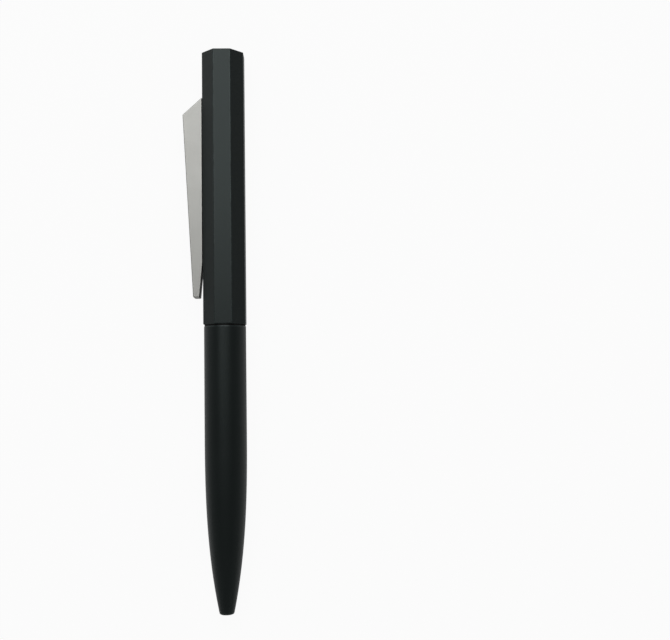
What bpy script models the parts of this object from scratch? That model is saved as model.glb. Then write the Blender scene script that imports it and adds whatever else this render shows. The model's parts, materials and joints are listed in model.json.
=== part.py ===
"""Twist ballpoint pen with an octagonal upper barrel, a round lower barrel and a sprung clip.

The pen is modelled along its own axis: heights run up +Z from the nose, radii run out from the axis, and
the clip stands on the -X facet. One empty then lays the pen on its -Z facet with the nose towards -Y.
Turning the upper barrel half a turn carries the drive pin down two helical slots, which pushes the refill
out of the nose against its return spring.
"""
import math

import bmesh
import bpy
from mathutils import Matrix, Vector

MM = 0.001

# Barrels
FLATS = 10.3 * MM
FACETS = 8
UPPER_WALL = 1.0 * MM
LOWER_LENGTH = 69.7 * MM
LOWER_WALL = 0.8 * MM
SEAM = 0.4 * MM
FACET_BEVEL = 0.14 * MM
RIM_CHAMFER = 0.2 * MM
NOSE_LIP = 0.62 * MM
NOSE_ROUND = 0.45 * MM
TAPER_LENGTH = 45.0 * MM
TAPER_POWER = 2.77
PLUG_THICKNESS = 3.0 * MM
PLUG_CHAMFER = 0.3 * MM

# Refill
REFILL_LENGTH = 107.0 * MM
REFILL_DIAMETER = 3.1 * MM
REFILL_WALL = 0.4 * MM
POINT_LENGTH = 11.0 * MM
POINT_DIAMETER = 1.95 * MM
POINT_TAPER = 2.4 * MM
POINT_TAPER_POWER = 1.5
COLLAR_LENGTH = 1.2 * MM
COLLAR_DIAMETER = 2.8 * MM
SPIGOT_LENGTH = 5.0 * MM
INK_BORE = 1.0 * MM
INK_FEED = 0.36 * MM
FEED_LENGTH = 3.0 * MM
BALL_DIAMETER = 0.8 * MM
BALL_SHOWS = 0.15 * MM
BALL_PLAY = 0.05 * MM
RIM_WALL = 0.08 * MM
EAR_LENGTH = 2.5 * MM
EAR_THICKNESS = 0.8 * MM
POINT_HIDDEN = 1.0 * MM
POINT_OUT = 4.2 * MM

# Return spring
SPRING_LENGTH = 22.0 * MM
SPRING_DIAMETER = 4.4 * MM
SPRING_WIRE = 0.4 * MM
SPRING_TURNS = 11
SEAT_LENGTH = 5.0 * MM

# Twist mechanism
TWIST_ANGLE = math.pi
PIN_DIAMETER = 1.2 * MM
PLUNGER_WALL = 0.5 * MM
PLUNGER_HEAD = 6.4 * MM
REFILL_SOCKET = 4.6 * MM
PIN_BELOW_TOP = 3.2 * MM
GUIDE_WALL = 0.55 * MM
CAM_LAND = 2.0 * MM
WASHER_THICKNESS = 0.3 * MM
RING_THICKNESS = 0.6 * MM
RING_WIDTH = 0.95 * MM
RING_MOUTH = 3.2 * MM
GROOVE_DEPTH = 0.3 * MM
GUIDE_END = 1.2 * MM
STUB_WALL = 0.45 * MM
THREAD_LENGTH = 10.0 * MM
JOURNAL_LENGTH = 7.2 * MM
DRAG_SECTION = 0.7 * MM
DRAG_SINK = 0.3 * MM
BUSH_RECESS = 0.3 * MM
SLIP_RECESS = 0.12 * MM

# Clip, measured down from its top and out from the facet that it stands on
CLIP_DROP = 11.3 * MM
CLIP_LENGTH = 49.95 * MM
CLIP_THICKNESS = 3.9 * MM
CLIP_BEVEL = 0.22 * MM
SHOULDER_DROP = 4.35 * MM
SHOULDER_OUT = 4.87 * MM
TOE_OUT = 2.46 * MM
TOE_IN = 0.87 * MM
CONTACT_ABOVE_TOE = 8.6 * MM
CLIP_GAP = 0.08 * MM
CONTACT_GAP = 0.1 * MM
CORE_WALL = 0.8 * MM
CORE_ROOF = 1.0 * MM
CORE_TOP_DROP = 8.3 * MM
CORE_BOTTOM_DROP = 37.8 * MM
FOOT_WIDTH = 2.6 * MM
FOOT_HEIGHT = 3.0 * MM
FOOT_SINK = 0.85 * MM
TAIL_THICKNESS = 1.4 * MM
TAIL_RISE = 4.6 * MM
CLIP_OPEN = math.radians(6.0)
PIVOT_DROP = 0.1 * MM
PIVOT_RADIUS = 2.2 * MM
CLIP_PIN_DIAMETER = 1.2 * MM
CLIP_SPRING_RISE = 3.2 * MM
CLIP_SPRING_DIAMETER = 2.2 * MM
CLIP_SPRING_WIRE = 0.3 * MM
CLIP_SPRING_TURNS = 3
CARRIER_BELOW_PIVOT = 7.0 * MM
CARRIER_FLOOR = 0.95 * MM
HEADROOM = 2.7 * MM

# Clearances
FIT = 0.1 * MM
SLIDE_FIT = 0.15 * MM
LOOSE_FIT = 0.2 * MM
STOP_GAP = 0.6 * MM
SWING_GAP = 0.25 * MM
PIN_FIT = 0.05 * MM
THROUGH = 1.0 * MM
WELD = 0.0005 * MM

# Facets of round pieces
BARREL_SIDES = 56
TUBE_SIDES = 40
SMALL_SIDES = 24
BALL_SIDES = 16
TAPER_STEPS = 13
POINT_STEPS = 5
ARC_STEPS = 6
RING_STEPS = 8
BEVEL_STEPS = 2
CURL_POINTS = 9
CAM_STEPS = 28
SHARP_ANGLE = math.radians(30)

# Radii, from the refill outwards and from the barrel inwards
BODY_RADIUS = FLATS / 2
POINT_BORE = POINT_DIAMETER / 2 + SLIDE_FIT
NOSE_RADIUS = POINT_BORE + NOSE_LIP
BORE_RADIUS = BODY_RADIUS - UPPER_WALL
REFILL_RADIUS = REFILL_DIAMETER / 2
REFILL_BORE = REFILL_RADIUS - REFILL_WALL
SOCKET_RADIUS = REFILL_RADIUS + FIT
PLUNGER_RADIUS = SOCKET_RADIUS + PLUNGER_WALL
GUIDE_INNER = PLUNGER_RADIUS + FIT
GUIDE_OUTER = GUIDE_INNER + GUIDE_WALL
CAM_INNER = GUIDE_OUTER + FIT
CAM_OUTER = BORE_RADIUS - FIT
STUB_INNER = GUIDE_OUTER + FIT
THREAD_RADIUS = STUB_INNER + STUB_WALL
JOURNAL_RADIUS = BORE_RADIUS - FIT
BUSH_INNER = THREAD_RADIUS + FIT
SOCKET_BORE = BODY_RADIUS - LOWER_WALL
BUSH_OUTER = SOCKET_BORE - FIT
CARRIER_RADIUS = BORE_RADIUS - FIT
PIN_RADIUS = PIN_DIAMETER / 2
SLOT_HALF_WIDTH = PIN_RADIUS + SLIDE_FIT
CLIP_PIN_RADIUS = CLIP_PIN_DIAMETER / 2

# Heights above the nose, with the point drawn in
TRAVEL = POINT_HIDDEN + POINT_OUT
NOSE_STEP = POINT_LENGTH - COLLAR_LENGTH - POINT_OUT - STOP_GAP
SPRING_SEAT = NOSE_STEP + SEAT_LENGTH
SPRING_START = SPRING_SEAT + FIT
EAR_START = SPRING_START + SPRING_LENGTH + FIT
CHAMBER_END = EAR_START + EAR_LENGTH + STOP_GAP
THREAD_START = LOWER_LENGTH - THREAD_LENGTH
SOCKET_START = THREAD_START - STOP_GAP
UPPER_START = LOWER_LENGTH + SEAM
JOURNAL_START = UPPER_START + LOOSE_FIT
JOURNAL_END = JOURNAL_START + JOURNAL_LENGTH
DRAG_HEIGHT = (JOURNAL_START + JOURNAL_END) / 2
REFILL_END = POINT_HIDDEN + REFILL_LENGTH
TUBE_START = POINT_HIDDEN + POINT_LENGTH + FIT
PLUNGER_START = REFILL_END - REFILL_SOCKET
SOCKET_END = REFILL_END + FIT
PLUNGER_END = SOCKET_END + PLUNGER_HEAD
PIN_HEIGHT = PLUNGER_END - PIN_BELOW_TOP
CAM_RISE = TRAVEL / TWIST_ANGLE
CAM_HALF_HEIGHT = SLOT_HALF_WIDTH * math.hypot(1.0, CAM_RISE / CAM_INNER)
CAM_OVERRUN = SLOT_HALF_WIDTH / CAM_INNER
CAM_REACH = CAM_HALF_HEIGHT + CAM_OVERRUN * CAM_RISE + CAM_LAND
CAM_START = PIN_HEIGHT - TRAVEL - CAM_REACH
CAM_END = PIN_HEIGHT + CAM_REACH
WASHER_START = CAM_END + FIT
RING_START = WASHER_START + WASHER_THICKNESS + FIT
RING_END = RING_START + RING_THICKNESS
GUIDE_START = THREAD_START + STOP_GAP
GUIDE_TOP = RING_END + GUIDE_END
PIVOT_HEIGHT = GUIDE_TOP + HEADROOM + CARRIER_BELOW_PIVOT
CLIP_TOP = PIVOT_HEIGHT + PIVOT_DROP
PEN_LENGTH = CLIP_TOP + CLIP_DROP
PLUG_START = PEN_LENGTH - PLUG_THICKNESS
CARRIER_START = PIVOT_HEIGHT - CARRIER_BELOW_PIVOT
CARRIER_END = PLUG_START - LOOSE_FIT
REST_HEIGHT = (UPPER_START + PEN_LENGTH) / 2

# Clip foot and tail, about the pivot
FOOT_TOP = -(CLIP_PIN_RADIUS + LOOSE_FIT)
FOOT_BOTTOM = FOOT_TOP - FOOT_HEIGHT
TAIL_FACE = PIVOT_RADIUS - CLIP_PIN_RADIUS - LOOSE_FIT
TAIL_BACK = TAIL_FACE - TAIL_THICKNESS
TAIL_SWING = (TAIL_RISE + FOOT_HEIGHT) * math.sin(CLIP_OPEN)
FOOT_SWING = (BODY_RADIUS - PIVOT_RADIUS) * math.sin(CLIP_OPEN)
POCKET_FLOOR = CARRIER_RADIUS - CARRIER_FLOOR
CLIP_SPRING_HEIGHT = PIVOT_HEIGHT + CLIP_SPRING_RISE

# Colour, roughness and metallic value of each finish
FINISHES = {
    "black_anodised": ((0.030, 0.032, 0.033), 0.42, 0.6),
    "satin_nickel": ((0.46, 0.45, 0.43), 0.45, 1.0),
    "dark_slip": ((0.012, 0.012, 0.013), 0.6, 0.0),
    "white_acetal": ((0.78, 0.77, 0.73), 0.45, 0.0),
    "grey_acetal": ((0.20, 0.21, 0.22), 0.5, 0.0),
    "brass": ((0.72, 0.52, 0.22), 0.3, 1.0),
    "spring_steel": ((0.55, 0.55, 0.56), 0.3, 1.0),
    "nickel_silver": ((0.66, 0.64, 0.58), 0.25, 1.0),
    "carbide": ((0.30, 0.30, 0.31), 0.15, 1.0),
    "rubber": ((0.015, 0.015, 0.015), 0.75, 0.0),
}


def clear_scene():
    """Remove every object that the scene already holds."""
    for leftover in list(bpy.data.objects):
        bpy.data.objects.remove(leftover, do_unlink=True)


def make_finish(piece, finish):
    """Return a new material for one piece, with the colour and gloss of a named finish."""
    colour, roughness, metallic = FINISHES[finish]
    material = bpy.data.materials.new(f"{piece}_{finish}")
    material.use_nodes = True
    shader = material.node_tree.nodes["Principled BSDF"]
    shader.inputs["Base Color"].default_value = (*colour, 1.0)
    shader.inputs["Roughness"].default_value = roughness
    shader.inputs["Metallic"].default_value = metallic
    return material


def add_empty(name, parent=None, location=(0.0, 0.0, 0.0), rotation=(0.0, 0.0, 0.0)):
    """Add an axis that pieces are parented to."""
    empty = bpy.data.objects.new(name, None)
    empty.empty_display_size = FLATS
    empty.parent = parent
    empty.location = location
    empty.rotation_euler = rotation
    bpy.context.scene.collection.objects.link(empty)
    return empty


def add_mesh(name, shape, parent, finish=None):
    """Turn a bmesh into an object; one without a finish is a hidden cutter."""
    bmesh.ops.remove_doubles(shape, verts=shape.verts, dist=WELD)
    bmesh.ops.recalc_face_normals(shape, faces=shape.faces)
    mesh = bpy.data.meshes.new(name)
    shape.to_mesh(mesh)
    shape.free()
    piece = bpy.data.objects.new(name, mesh)
    piece.parent = parent
    bpy.context.scene.collection.objects.link(piece)
    if finish is None:
        piece.hide_render = True
        piece.display_type = "WIRE"
    else:
        mesh.materials.append(make_finish(name, finish))
        mesh.shade_smooth()
        mesh.set_sharp_from_angle(angle=SHARP_ANGLE)
    return piece


def boolean(target, tool, operation="DIFFERENCE"):
    """Cut a hidden tool out of a piece, or join it on."""
    modifier = target.modifiers.new(tool.name, "BOOLEAN")
    modifier.operation = operation
    modifier.solver = "EXACT"
    modifier.object = tool


def turn(name, outline, sides, parent, finish=None):
    """Spin an outline of (radius, height) points round the pen's axis.

    An outline that starts and ends on the axis makes a solid, and any other is closed into a ring.
    """
    shape = bmesh.new()
    points = [shape.verts.new((radius, 0.0, height)) for radius, height in outline]
    pairs = list(zip(points, points[1:]))
    if outline[0][0] > 0.0:
        pairs.append((points[-1], points[0]))
    edges = [shape.edges.new(pair) for pair in pairs]
    bmesh.ops.spin(
        shape, geom=points + edges, cent=(0.0, 0.0, 0.0), axis=(0.0, 0.0, 1.0),
        angle=2 * math.pi, steps=sides, use_merge=True,
    )
    return add_mesh(name, shape, parent, finish)


def turn_tube(name, inner, outer, start, end, sides, parent, finish):
    """Make a plain tube or washer between two radii and two heights."""
    outline = [(inner, start), (outer, start), (outer, end), (inner, end)]
    return turn(name, outline, sides, parent, finish)


def turn_rod(name, radius, start, end, sides, parent, finish):
    """Make a plain solid rod on the axis between two heights."""
    return turn(name, [(0.0, start), (radius, start), (radius, end), (0.0, end)], sides, parent, finish)


def bar(name, radius, start, end, parent, finish=None, sides=SMALL_SIDES):
    """Make a round bar from one point to another."""
    start, end = Vector(start), Vector(end)
    along = end - start
    shape = bmesh.new()
    placing = Matrix.Translation((start + end) / 2) @ along.to_track_quat("Z", "Y").to_matrix().to_4x4()
    bmesh.ops.create_cone(
        shape, cap_ends=True, segments=sides, radius1=radius, radius2=radius,
        depth=along.length, matrix=placing,
    )
    return add_mesh(name, shape, parent, finish)


def block(name, low, high, parent, finish=None):
    """Make a rectangular block between two corners."""
    low, high = Vector(low), Vector(high)
    shape = bmesh.new()
    placing = Matrix.Translation((low + high) / 2) @ Matrix.Diagonal((*(high - low), 1.0))
    bmesh.ops.create_cube(shape, size=1.0, matrix=placing)
    return add_mesh(name, shape, parent, finish)


def plate(name, outline, half_width, parent, finish=None):
    """Extrude an outline of (x, z) points by half a width to each side along Y."""
    shape = bmesh.new()
    corners = [shape.verts.new((x, -half_width, z)) for x, z in outline]
    face = shape.faces.new(corners)
    pulled = bmesh.ops.extrude_face_region(shape, geom=[face])["geom"]
    moved = [item for item in pulled if isinstance(item, bmesh.types.BMVert)]
    bmesh.ops.translate(shape, verts=moved, vec=(0.0, 2 * half_width, 0.0))
    return add_mesh(name, shape, parent, finish)


def soften(piece, width):
    """Round the sharp edges of a piece."""
    modifier = piece.modifiers.new("edges", "BEVEL")
    modifier.width = width
    modifier.segments = BEVEL_STEPS
    modifier.limit_method = "ANGLE"
    modifier.angle_limit = SHARP_ANGLE


def arc(centre, radius, start, end, steps):
    """Return points on an arc, from one angle to another."""
    angles = [start + (end - start) * step / steps for step in range(steps + 1)]
    return [(centre[0] + radius * math.cos(a), centre[1] + radius * math.sin(a)) for a in angles]


def coil(name, start, end, radius, wire, turns, parent, finish):
    """Wind a spring as one unbroken wire between two points, and print its least gap to itself."""
    start, end = Vector(start), Vector(end)
    along = end - start
    facing = along.to_track_quat("Z", "Y")
    wire_radius = wire / 2
    centre_radius = radius - wire_radius
    count = turns * CURL_POINTS
    points = []
    for step in range(count + 1):
        angle = 2 * math.pi * step / CURL_POINTS
        height = wire_radius + (along.length - wire) * step / count
        place = Vector((centre_radius * math.cos(angle), centre_radius * math.sin(angle), height))
        points.append(start + facing @ place)
    curve = bpy.data.curves.new(name, "CURVE")
    curve.dimensions = "3D"
    curve.bevel_depth = wire_radius
    curve.bevel_resolution = 1
    curve.use_fill_caps = True
    spline = curve.splines.new("POLY")
    spline.points.add(count)
    for point, place in zip(spline.points, points):
        point.co = (*place, 1.0)
    spring = bpy.data.objects.new(name, curve)
    spring.parent = parent
    curve.materials.append(make_finish(name, finish))
    bpy.context.scene.collection.objects.link(spring)
    half_turn = CURL_POINTS // 2
    gaps = [
        (points[far] - points[near]).length - wire
        for near in range(count + 1)
        for far in range(near + half_turn, count + 1)
    ]
    print(f"{name}: least gap to itself {min(gaps) / MM:.2f} mm")
    return spring


def taper_radius(height):
    """Return the lower barrel's radius: straight, then drawn in to the nose ever faster."""
    left = max(0.0, 1.0 - height / TAPER_LENGTH)
    return NOSE_RADIUS + (BODY_RADIUS - NOSE_RADIUS) * (1.0 - left ** TAPER_POWER)


def build_lower_barrel(parent):
    """Turn the round barrel, with its nose bore, spring chamber and the socket for the thread bush."""
    slope = math.atan((BODY_RADIUS - NOSE_RADIUS) * TAPER_POWER / TAPER_LENGTH)
    taper_start = NOSE_ROUND * (1.0 - math.sin(slope))
    round_centre = (taper_radius(taper_start) - NOSE_ROUND * math.cos(slope), NOSE_ROUND)
    nose = arc(round_centre, NOSE_ROUND, -math.pi / 2, -slope, ARC_STEPS)
    taper = []
    for step in range(1, TAPER_STEPS + 1):
        height = taper_start + (TAPER_LENGTH - taper_start) * step / TAPER_STEPS
        taper.append((taper_radius(height), height))
    rim = [
        (BODY_RADIUS, LOWER_LENGTH - RIM_CHAMFER),
        (BODY_RADIUS - RIM_CHAMFER, LOWER_LENGTH),
        (SOCKET_BORE, LOWER_LENGTH),
    ]
    tube_bore = REFILL_RADIUS + SLIDE_FIT
    chamber = SPRING_DIAMETER / 2 + LOOSE_FIT
    bores = [
        (SOCKET_BORE, SOCKET_START),
        (THREAD_RADIUS, SOCKET_START),
        (THREAD_RADIUS, CHAMBER_END),
        (chamber, CHAMBER_END),
        (chamber, SPRING_SEAT),
        (tube_bore, SPRING_SEAT),
        (tube_bore, NOSE_STEP),
        (POINT_BORE, NOSE_STEP),
        (POINT_BORE, 0.0),
    ]
    return turn("lower_barrel", nose + taper + rim + bores, BARREL_SIDES, parent, "black_anodised")


def build_upper_barrel(parent):
    """Extrude the octagonal tube, round its edges, bore it and cut the window for the clip's foot."""
    shape = bmesh.new()
    corner_radius = BODY_RADIUS / math.cos(math.pi / FACETS)
    placing = Matrix.Translation((0.0, 0.0, UPPER_START)) @ Matrix.Rotation(math.pi / FACETS, 4, "Z")
    bmesh.ops.create_circle(shape, cap_ends=True, segments=FACETS, radius=corner_radius, matrix=placing)
    face = shape.faces[:][0]
    pulled = bmesh.ops.extrude_face_region(shape, geom=[face])["geom"]
    moved = [item for item in pulled if isinstance(item, bmesh.types.BMVert)]
    bmesh.ops.translate(shape, verts=moved, vec=(0.0, 0.0, PEN_LENGTH - UPPER_START))
    barrel = add_mesh("upper_barrel", shape, parent, "black_anodised")
    soften(barrel, FACET_BEVEL)
    below, above = (0.0, 0.0, UPPER_START - THROUGH), (0.0, 0.0, PEN_LENGTH + THROUGH)
    boolean(barrel, bar("upper_bore", BORE_RADIUS, below, above, parent, sides=BARREL_SIDES))
    half_width = FOOT_WIDTH / 2 + SWING_GAP
    window_low = PIVOT_HEIGHT + FOOT_BOTTOM - SWING_GAP
    window_high = PIVOT_HEIGHT + FOOT_TOP + FOOT_SWING + SWING_GAP
    window = block(
        "clip_window", (-BODY_RADIUS - THROUGH, -half_width, window_low),
        (0.0, half_width, window_high), parent,
    )
    boolean(barrel, window)
    return barrel


def build_end_plug(parent):
    """Turn the plug that closes the top of the octagonal tube."""
    outline = [
        (0.0, PLUG_START),
        (BORE_RADIUS - FIT, PLUG_START),
        (BORE_RADIUS - FIT, PEN_LENGTH - PLUG_CHAMFER),
        (BORE_RADIUS - FIT - PLUG_CHAMFER, PEN_LENGTH),
        (0.0, PEN_LENGTH),
    ]
    return turn("end_plug", outline, TUBE_SIDES, parent, "black_anodised")


def clip_outer(drop):
    """Return how far the clip's outer edge stands out from the facet, a drop below the clip's top."""
    share = (drop - SHOULDER_DROP) / (CLIP_LENGTH - SHOULDER_DROP)
    return SHOULDER_OUT + (TOE_OUT - SHOULDER_OUT) * share


def build_clip(parent):
    """Cut the wedge-shaped blade, core it out behind, and join on the hooked foot.

    The clip is drawn about its pivot: x runs out through the facet as -X, z is height above the pivot.
    """
    def place(out, drop):
        return (PIVOT_RADIUS - BODY_RADIUS - out, PIVOT_DROP - drop)

    blade = plate("clip", [
        place(CLIP_GAP, 0.0),
        place(SHOULDER_OUT, SHOULDER_DROP),
        place(TOE_OUT, CLIP_LENGTH),
        place(TOE_IN, CLIP_LENGTH),
        place(CONTACT_GAP, CLIP_LENGTH - CONTACT_ABOVE_TOE),
    ], CLIP_THICKNESS / 2, parent, "satin_nickel")
    soften(blade, CLIP_BEVEL)
    core = plate("clip_core", [
        place(-THROUGH, CORE_TOP_DROP),
        place(clip_outer(CORE_TOP_DROP) - CORE_ROOF, CORE_TOP_DROP),
        place(clip_outer(CORE_BOTTOM_DROP) - CORE_ROOF, CORE_BOTTOM_DROP),
        place(-THROUGH, CORE_BOTTOM_DROP),
    ], CLIP_THICKNESS / 2 - CORE_WALL, parent)
    boolean(blade, core)
    root = place(FOOT_SINK, 0.0)[0]
    tail_face, tail_back = PIVOT_RADIUS - TAIL_FACE, PIVOT_RADIUS - TAIL_BACK
    foot = plate("clip_foot", [
        (root, FOOT_TOP),
        (root, FOOT_BOTTOM),
        (tail_back, FOOT_BOTTOM),
        (tail_back, TAIL_RISE),
        (tail_face, TAIL_RISE),
        (tail_face, FOOT_TOP),
    ], FOOT_WIDTH / 2, parent)
    boolean(blade, foot, "UNION")
    return blade


def build_clip_carrier(parent):
    """Turn the block that holds the clip, with its slot, pin hole and spring pocket."""
    carrier = turn_rod(
        "clip_carrier", CARRIER_RADIUS, CARRIER_START, CARRIER_END, TUBE_SIDES, parent, "grey_acetal",
    )
    half_width = FOOT_WIDTH / 2 + SWING_GAP
    slot_back = TAIL_SWING - TAIL_BACK
    slot = block(
        "carrier_slot",
        (-CARRIER_RADIUS - THROUGH, -half_width, PIVOT_HEIGHT + FOOT_BOTTOM - STOP_GAP),
        (slot_back, half_width, PIVOT_HEIGHT + TAIL_RISE + STOP_GAP),
        parent,
    )
    boolean(carrier, slot)
    hole_end = Vector((0.0, CARRIER_RADIUS + THROUGH, 0.0))
    pivot = Vector((-PIVOT_RADIUS, 0.0, PIVOT_HEIGHT))
    hole_radius = CLIP_PIN_RADIUS + PIN_FIT
    boolean(carrier, bar("carrier_pin_hole", hole_radius, pivot - hole_end, pivot + hole_end, parent))
    pocket = bar(
        "carrier_pocket", CLIP_SPRING_DIAMETER / 2 + LOOSE_FIT,
        (0.0, 0.0, CLIP_SPRING_HEIGHT), (POCKET_FLOOR, 0.0, CLIP_SPRING_HEIGHT), parent,
    )
    boolean(carrier, pocket)
    return carrier


def build_clip_pin(parent):
    """Make the pin that the clip swings on, kept inside the carrier's outline."""
    half_length = math.sqrt(CARRIER_RADIUS ** 2 - (PIVOT_RADIUS + CLIP_PIN_RADIUS) ** 2) - FIT
    pivot = Vector((-PIVOT_RADIUS, 0.0, PIVOT_HEIGHT))
    reach = Vector((0.0, half_length, 0.0))
    return bar("clip_pin", CLIP_PIN_RADIUS, pivot - reach, pivot + reach, parent, "spring_steel")


def build_clip_spring(parent):
    """Wind the spring that presses on the clip's tail from the carrier's pocket."""
    start = (POCKET_FLOOR - FIT, 0.0, CLIP_SPRING_HEIGHT)
    end = (FIT - TAIL_BACK, 0.0, CLIP_SPRING_HEIGHT)
    return coil(
        "clip_spring", start, end, CLIP_SPRING_DIAMETER / 2, CLIP_SPRING_WIRE, CLIP_SPRING_TURNS,
        parent, "spring_steel",
    )


def helical_slot(name, start_angle, parent):
    """Sweep a slot that falls by the refill's travel in one twist, and runs on past both ends."""
    inner, outer = CAM_INNER - THROUGH, CAM_OUTER + THROUGH
    shape = bmesh.new()
    rings = []
    for step in range(CAM_STEPS + 1):
        turned = -CAM_OVERRUN + (TWIST_ANGLE + 2 * CAM_OVERRUN) * step / CAM_STEPS
        angle, height = start_angle + turned, PIN_HEIGHT - CAM_RISE * turned
        low, high = height - CAM_HALF_HEIGHT, height + CAM_HALF_HEIGHT
        corners = [(inner, low), (outer, low), (outer, high), (inner, high)]
        outward = Vector((math.cos(angle), math.sin(angle), 0.0))
        ring = [shape.verts.new(radius * outward + Vector((0.0, 0.0, level))) for radius, level in corners]
        rings.append(ring)
    for ring, following in zip(rings, rings[1:]):
        for side in range(len(ring)):
            shape.faces.new((ring[side - 1], ring[side], following[side], following[side - 1]))
    shape.faces.new(rings[0])
    shape.faces.new(rings[-1])
    return add_mesh(name, shape, parent)


def build_cam_sleeve(parent):
    """Turn the sleeve fixed in the upper barrel and cut its two helical slots, half a turn apart."""
    sleeve = turn_tube(
        "cam_sleeve", CAM_INNER, CAM_OUTER, CAM_START, CAM_END, TUBE_SIDES, parent, "white_acetal",
    )
    for number, start_angle in enumerate((math.pi / 2, 3 * math.pi / 2), start=1):
        boolean(sleeve, helical_slot(f"cam_slot_{number}", start_angle, parent))
    return sleeve


def build_guide_tube(parent):
    """Turn the guide tube with the groove of its retaining ring, and cut the straight slots."""
    groove = GUIDE_OUTER - GROOVE_DEPTH
    outline = [
        (GUIDE_INNER, GUIDE_START),
        (GUIDE_OUTER, GUIDE_START),
        (GUIDE_OUTER, RING_START - PIN_FIT),
        (groove, RING_START - PIN_FIT),
        (groove, RING_END + PIN_FIT),
        (GUIDE_OUTER, RING_END + PIN_FIT),
        (GUIDE_OUTER, GUIDE_TOP),
        (GUIDE_INNER, GUIDE_TOP),
    ]
    guide = turn("guide_tube", outline, TUBE_SIDES, parent, "white_acetal")
    low_end = arc((0.0, PIN_HEIGHT - TRAVEL), SLOT_HALF_WIDTH, math.pi, 2 * math.pi, ARC_STEPS)
    high_end = arc((0.0, PIN_HEIGHT), SLOT_HALF_WIDTH, 0.0, math.pi, ARC_STEPS)
    boolean(guide, plate("guide_slot", low_end + high_end, GUIDE_OUTER + THROUGH, parent))
    return guide


def build_threaded_stub(parent):
    """Turn the stub: the thread that joins the lower barrel, and the journal with its ring groove."""
    drag_radius = DRAG_SECTION / 2
    groove = JOURNAL_RADIUS - DRAG_SINK - drag_radius - PIN_FIT
    groove_low, groove_high = DRAG_HEIGHT - drag_radius - FIT, DRAG_HEIGHT + drag_radius + FIT
    outline = [
        (STUB_INNER, THREAD_START),
        (THREAD_RADIUS - RIM_CHAMFER, THREAD_START),
        (THREAD_RADIUS, THREAD_START + RIM_CHAMFER),
        (THREAD_RADIUS, JOURNAL_START),
        (JOURNAL_RADIUS, JOURNAL_START),
        (JOURNAL_RADIUS, groove_low),
        (groove, groove_low),
        (groove, groove_high),
        (JOURNAL_RADIUS, groove_high),
        (JOURNAL_RADIUS, JOURNAL_END - RIM_CHAMFER),
        (JOURNAL_RADIUS - RIM_CHAMFER, JOURNAL_END),
        (STUB_INNER, JOURNAL_END),
    ]
    return turn("threaded_stub", outline, TUBE_SIDES, parent, "brass")


def build_drag_ring(parent):
    """Turn the rubber ring that rubs in the upper barrel's bore."""
    section = arc((JOURNAL_RADIUS - DRAG_SINK, DRAG_HEIGHT), DRAG_SECTION / 2, 0.0, 2 * math.pi, RING_STEPS)
    return turn("drag_ring", section[:-1], TUBE_SIDES, parent, "rubber")


def build_retaining_ring(parent):
    """Turn the open ring that keeps the cam sleeve on the guide tube."""
    inner = GUIDE_OUTER - GROOVE_DEPTH + PIN_FIT
    outer = inner + RING_WIDTH
    ring = turn_tube("retaining_ring", inner, outer, RING_START, RING_END, TUBE_SIDES, parent, "spring_steel")
    mouth = block(
        "ring_mouth", (0.0, -RING_MOUTH / 2, RING_START - THROUGH),
        (outer + THROUGH, RING_MOUTH / 2, RING_END + THROUGH), parent,
    )
    boolean(ring, mouth)
    return ring


def build_plunger(parent):
    """Turn the plunger that holds the refill's tail, and drill it for the drive pin."""
    outline = [
        (SOCKET_RADIUS, PLUNGER_START),
        (PLUNGER_RADIUS, PLUNGER_START),
        (PLUNGER_RADIUS, PLUNGER_END - RIM_CHAMFER),
        (PLUNGER_RADIUS - RIM_CHAMFER, PLUNGER_END),
        (0.0, PLUNGER_END),
    ]
    socket = [(0.0, SOCKET_END), (SOCKET_RADIUS, SOCKET_END)]
    plunger = turn("plunger", socket + outline, TUBE_SIDES, parent, "grey_acetal")
    reach = Vector((0.0, PLUNGER_RADIUS + THROUGH, 0.0))
    centre = Vector((0.0, 0.0, PIN_HEIGHT))
    boolean(plunger, bar("plunger_pin_hole", PIN_RADIUS + PIN_FIT, centre - reach, centre + reach, parent))
    return plunger


def build_drive_pin(parent):
    """Make the cross pin that runs in the straight slots and in the helical ones."""
    reach = Vector((0.0, CAM_OUTER - FIT, 0.0))
    centre = Vector((0.0, 0.0, PIN_HEIGHT))
    return bar("drive_pin", PIN_RADIUS, centre - reach, centre + reach, parent, "spring_steel")


def build_refill_tube(parent):
    """Turn the ink tube with its pinched ears, then bore it through."""
    tube = turn_rod("refill_tube", REFILL_RADIUS, TUBE_START, REFILL_END, SMALL_SIDES, parent, "spring_steel")
    half_span, half_thickness = SPRING_DIAMETER / 2, EAR_THICKNESS / 2
    ears = block(
        "refill_ears", (-half_span, -half_thickness, EAR_START),
        (half_span, half_thickness, EAR_START + EAR_LENGTH), parent,
    )
    boolean(tube, ears, "UNION")
    below, above = (0.0, 0.0, TUBE_START - THROUGH), (0.0, 0.0, REFILL_END + THROUGH)
    boolean(tube, bar("refill_bore", REFILL_BORE, below, above, parent))
    return tube


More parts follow.
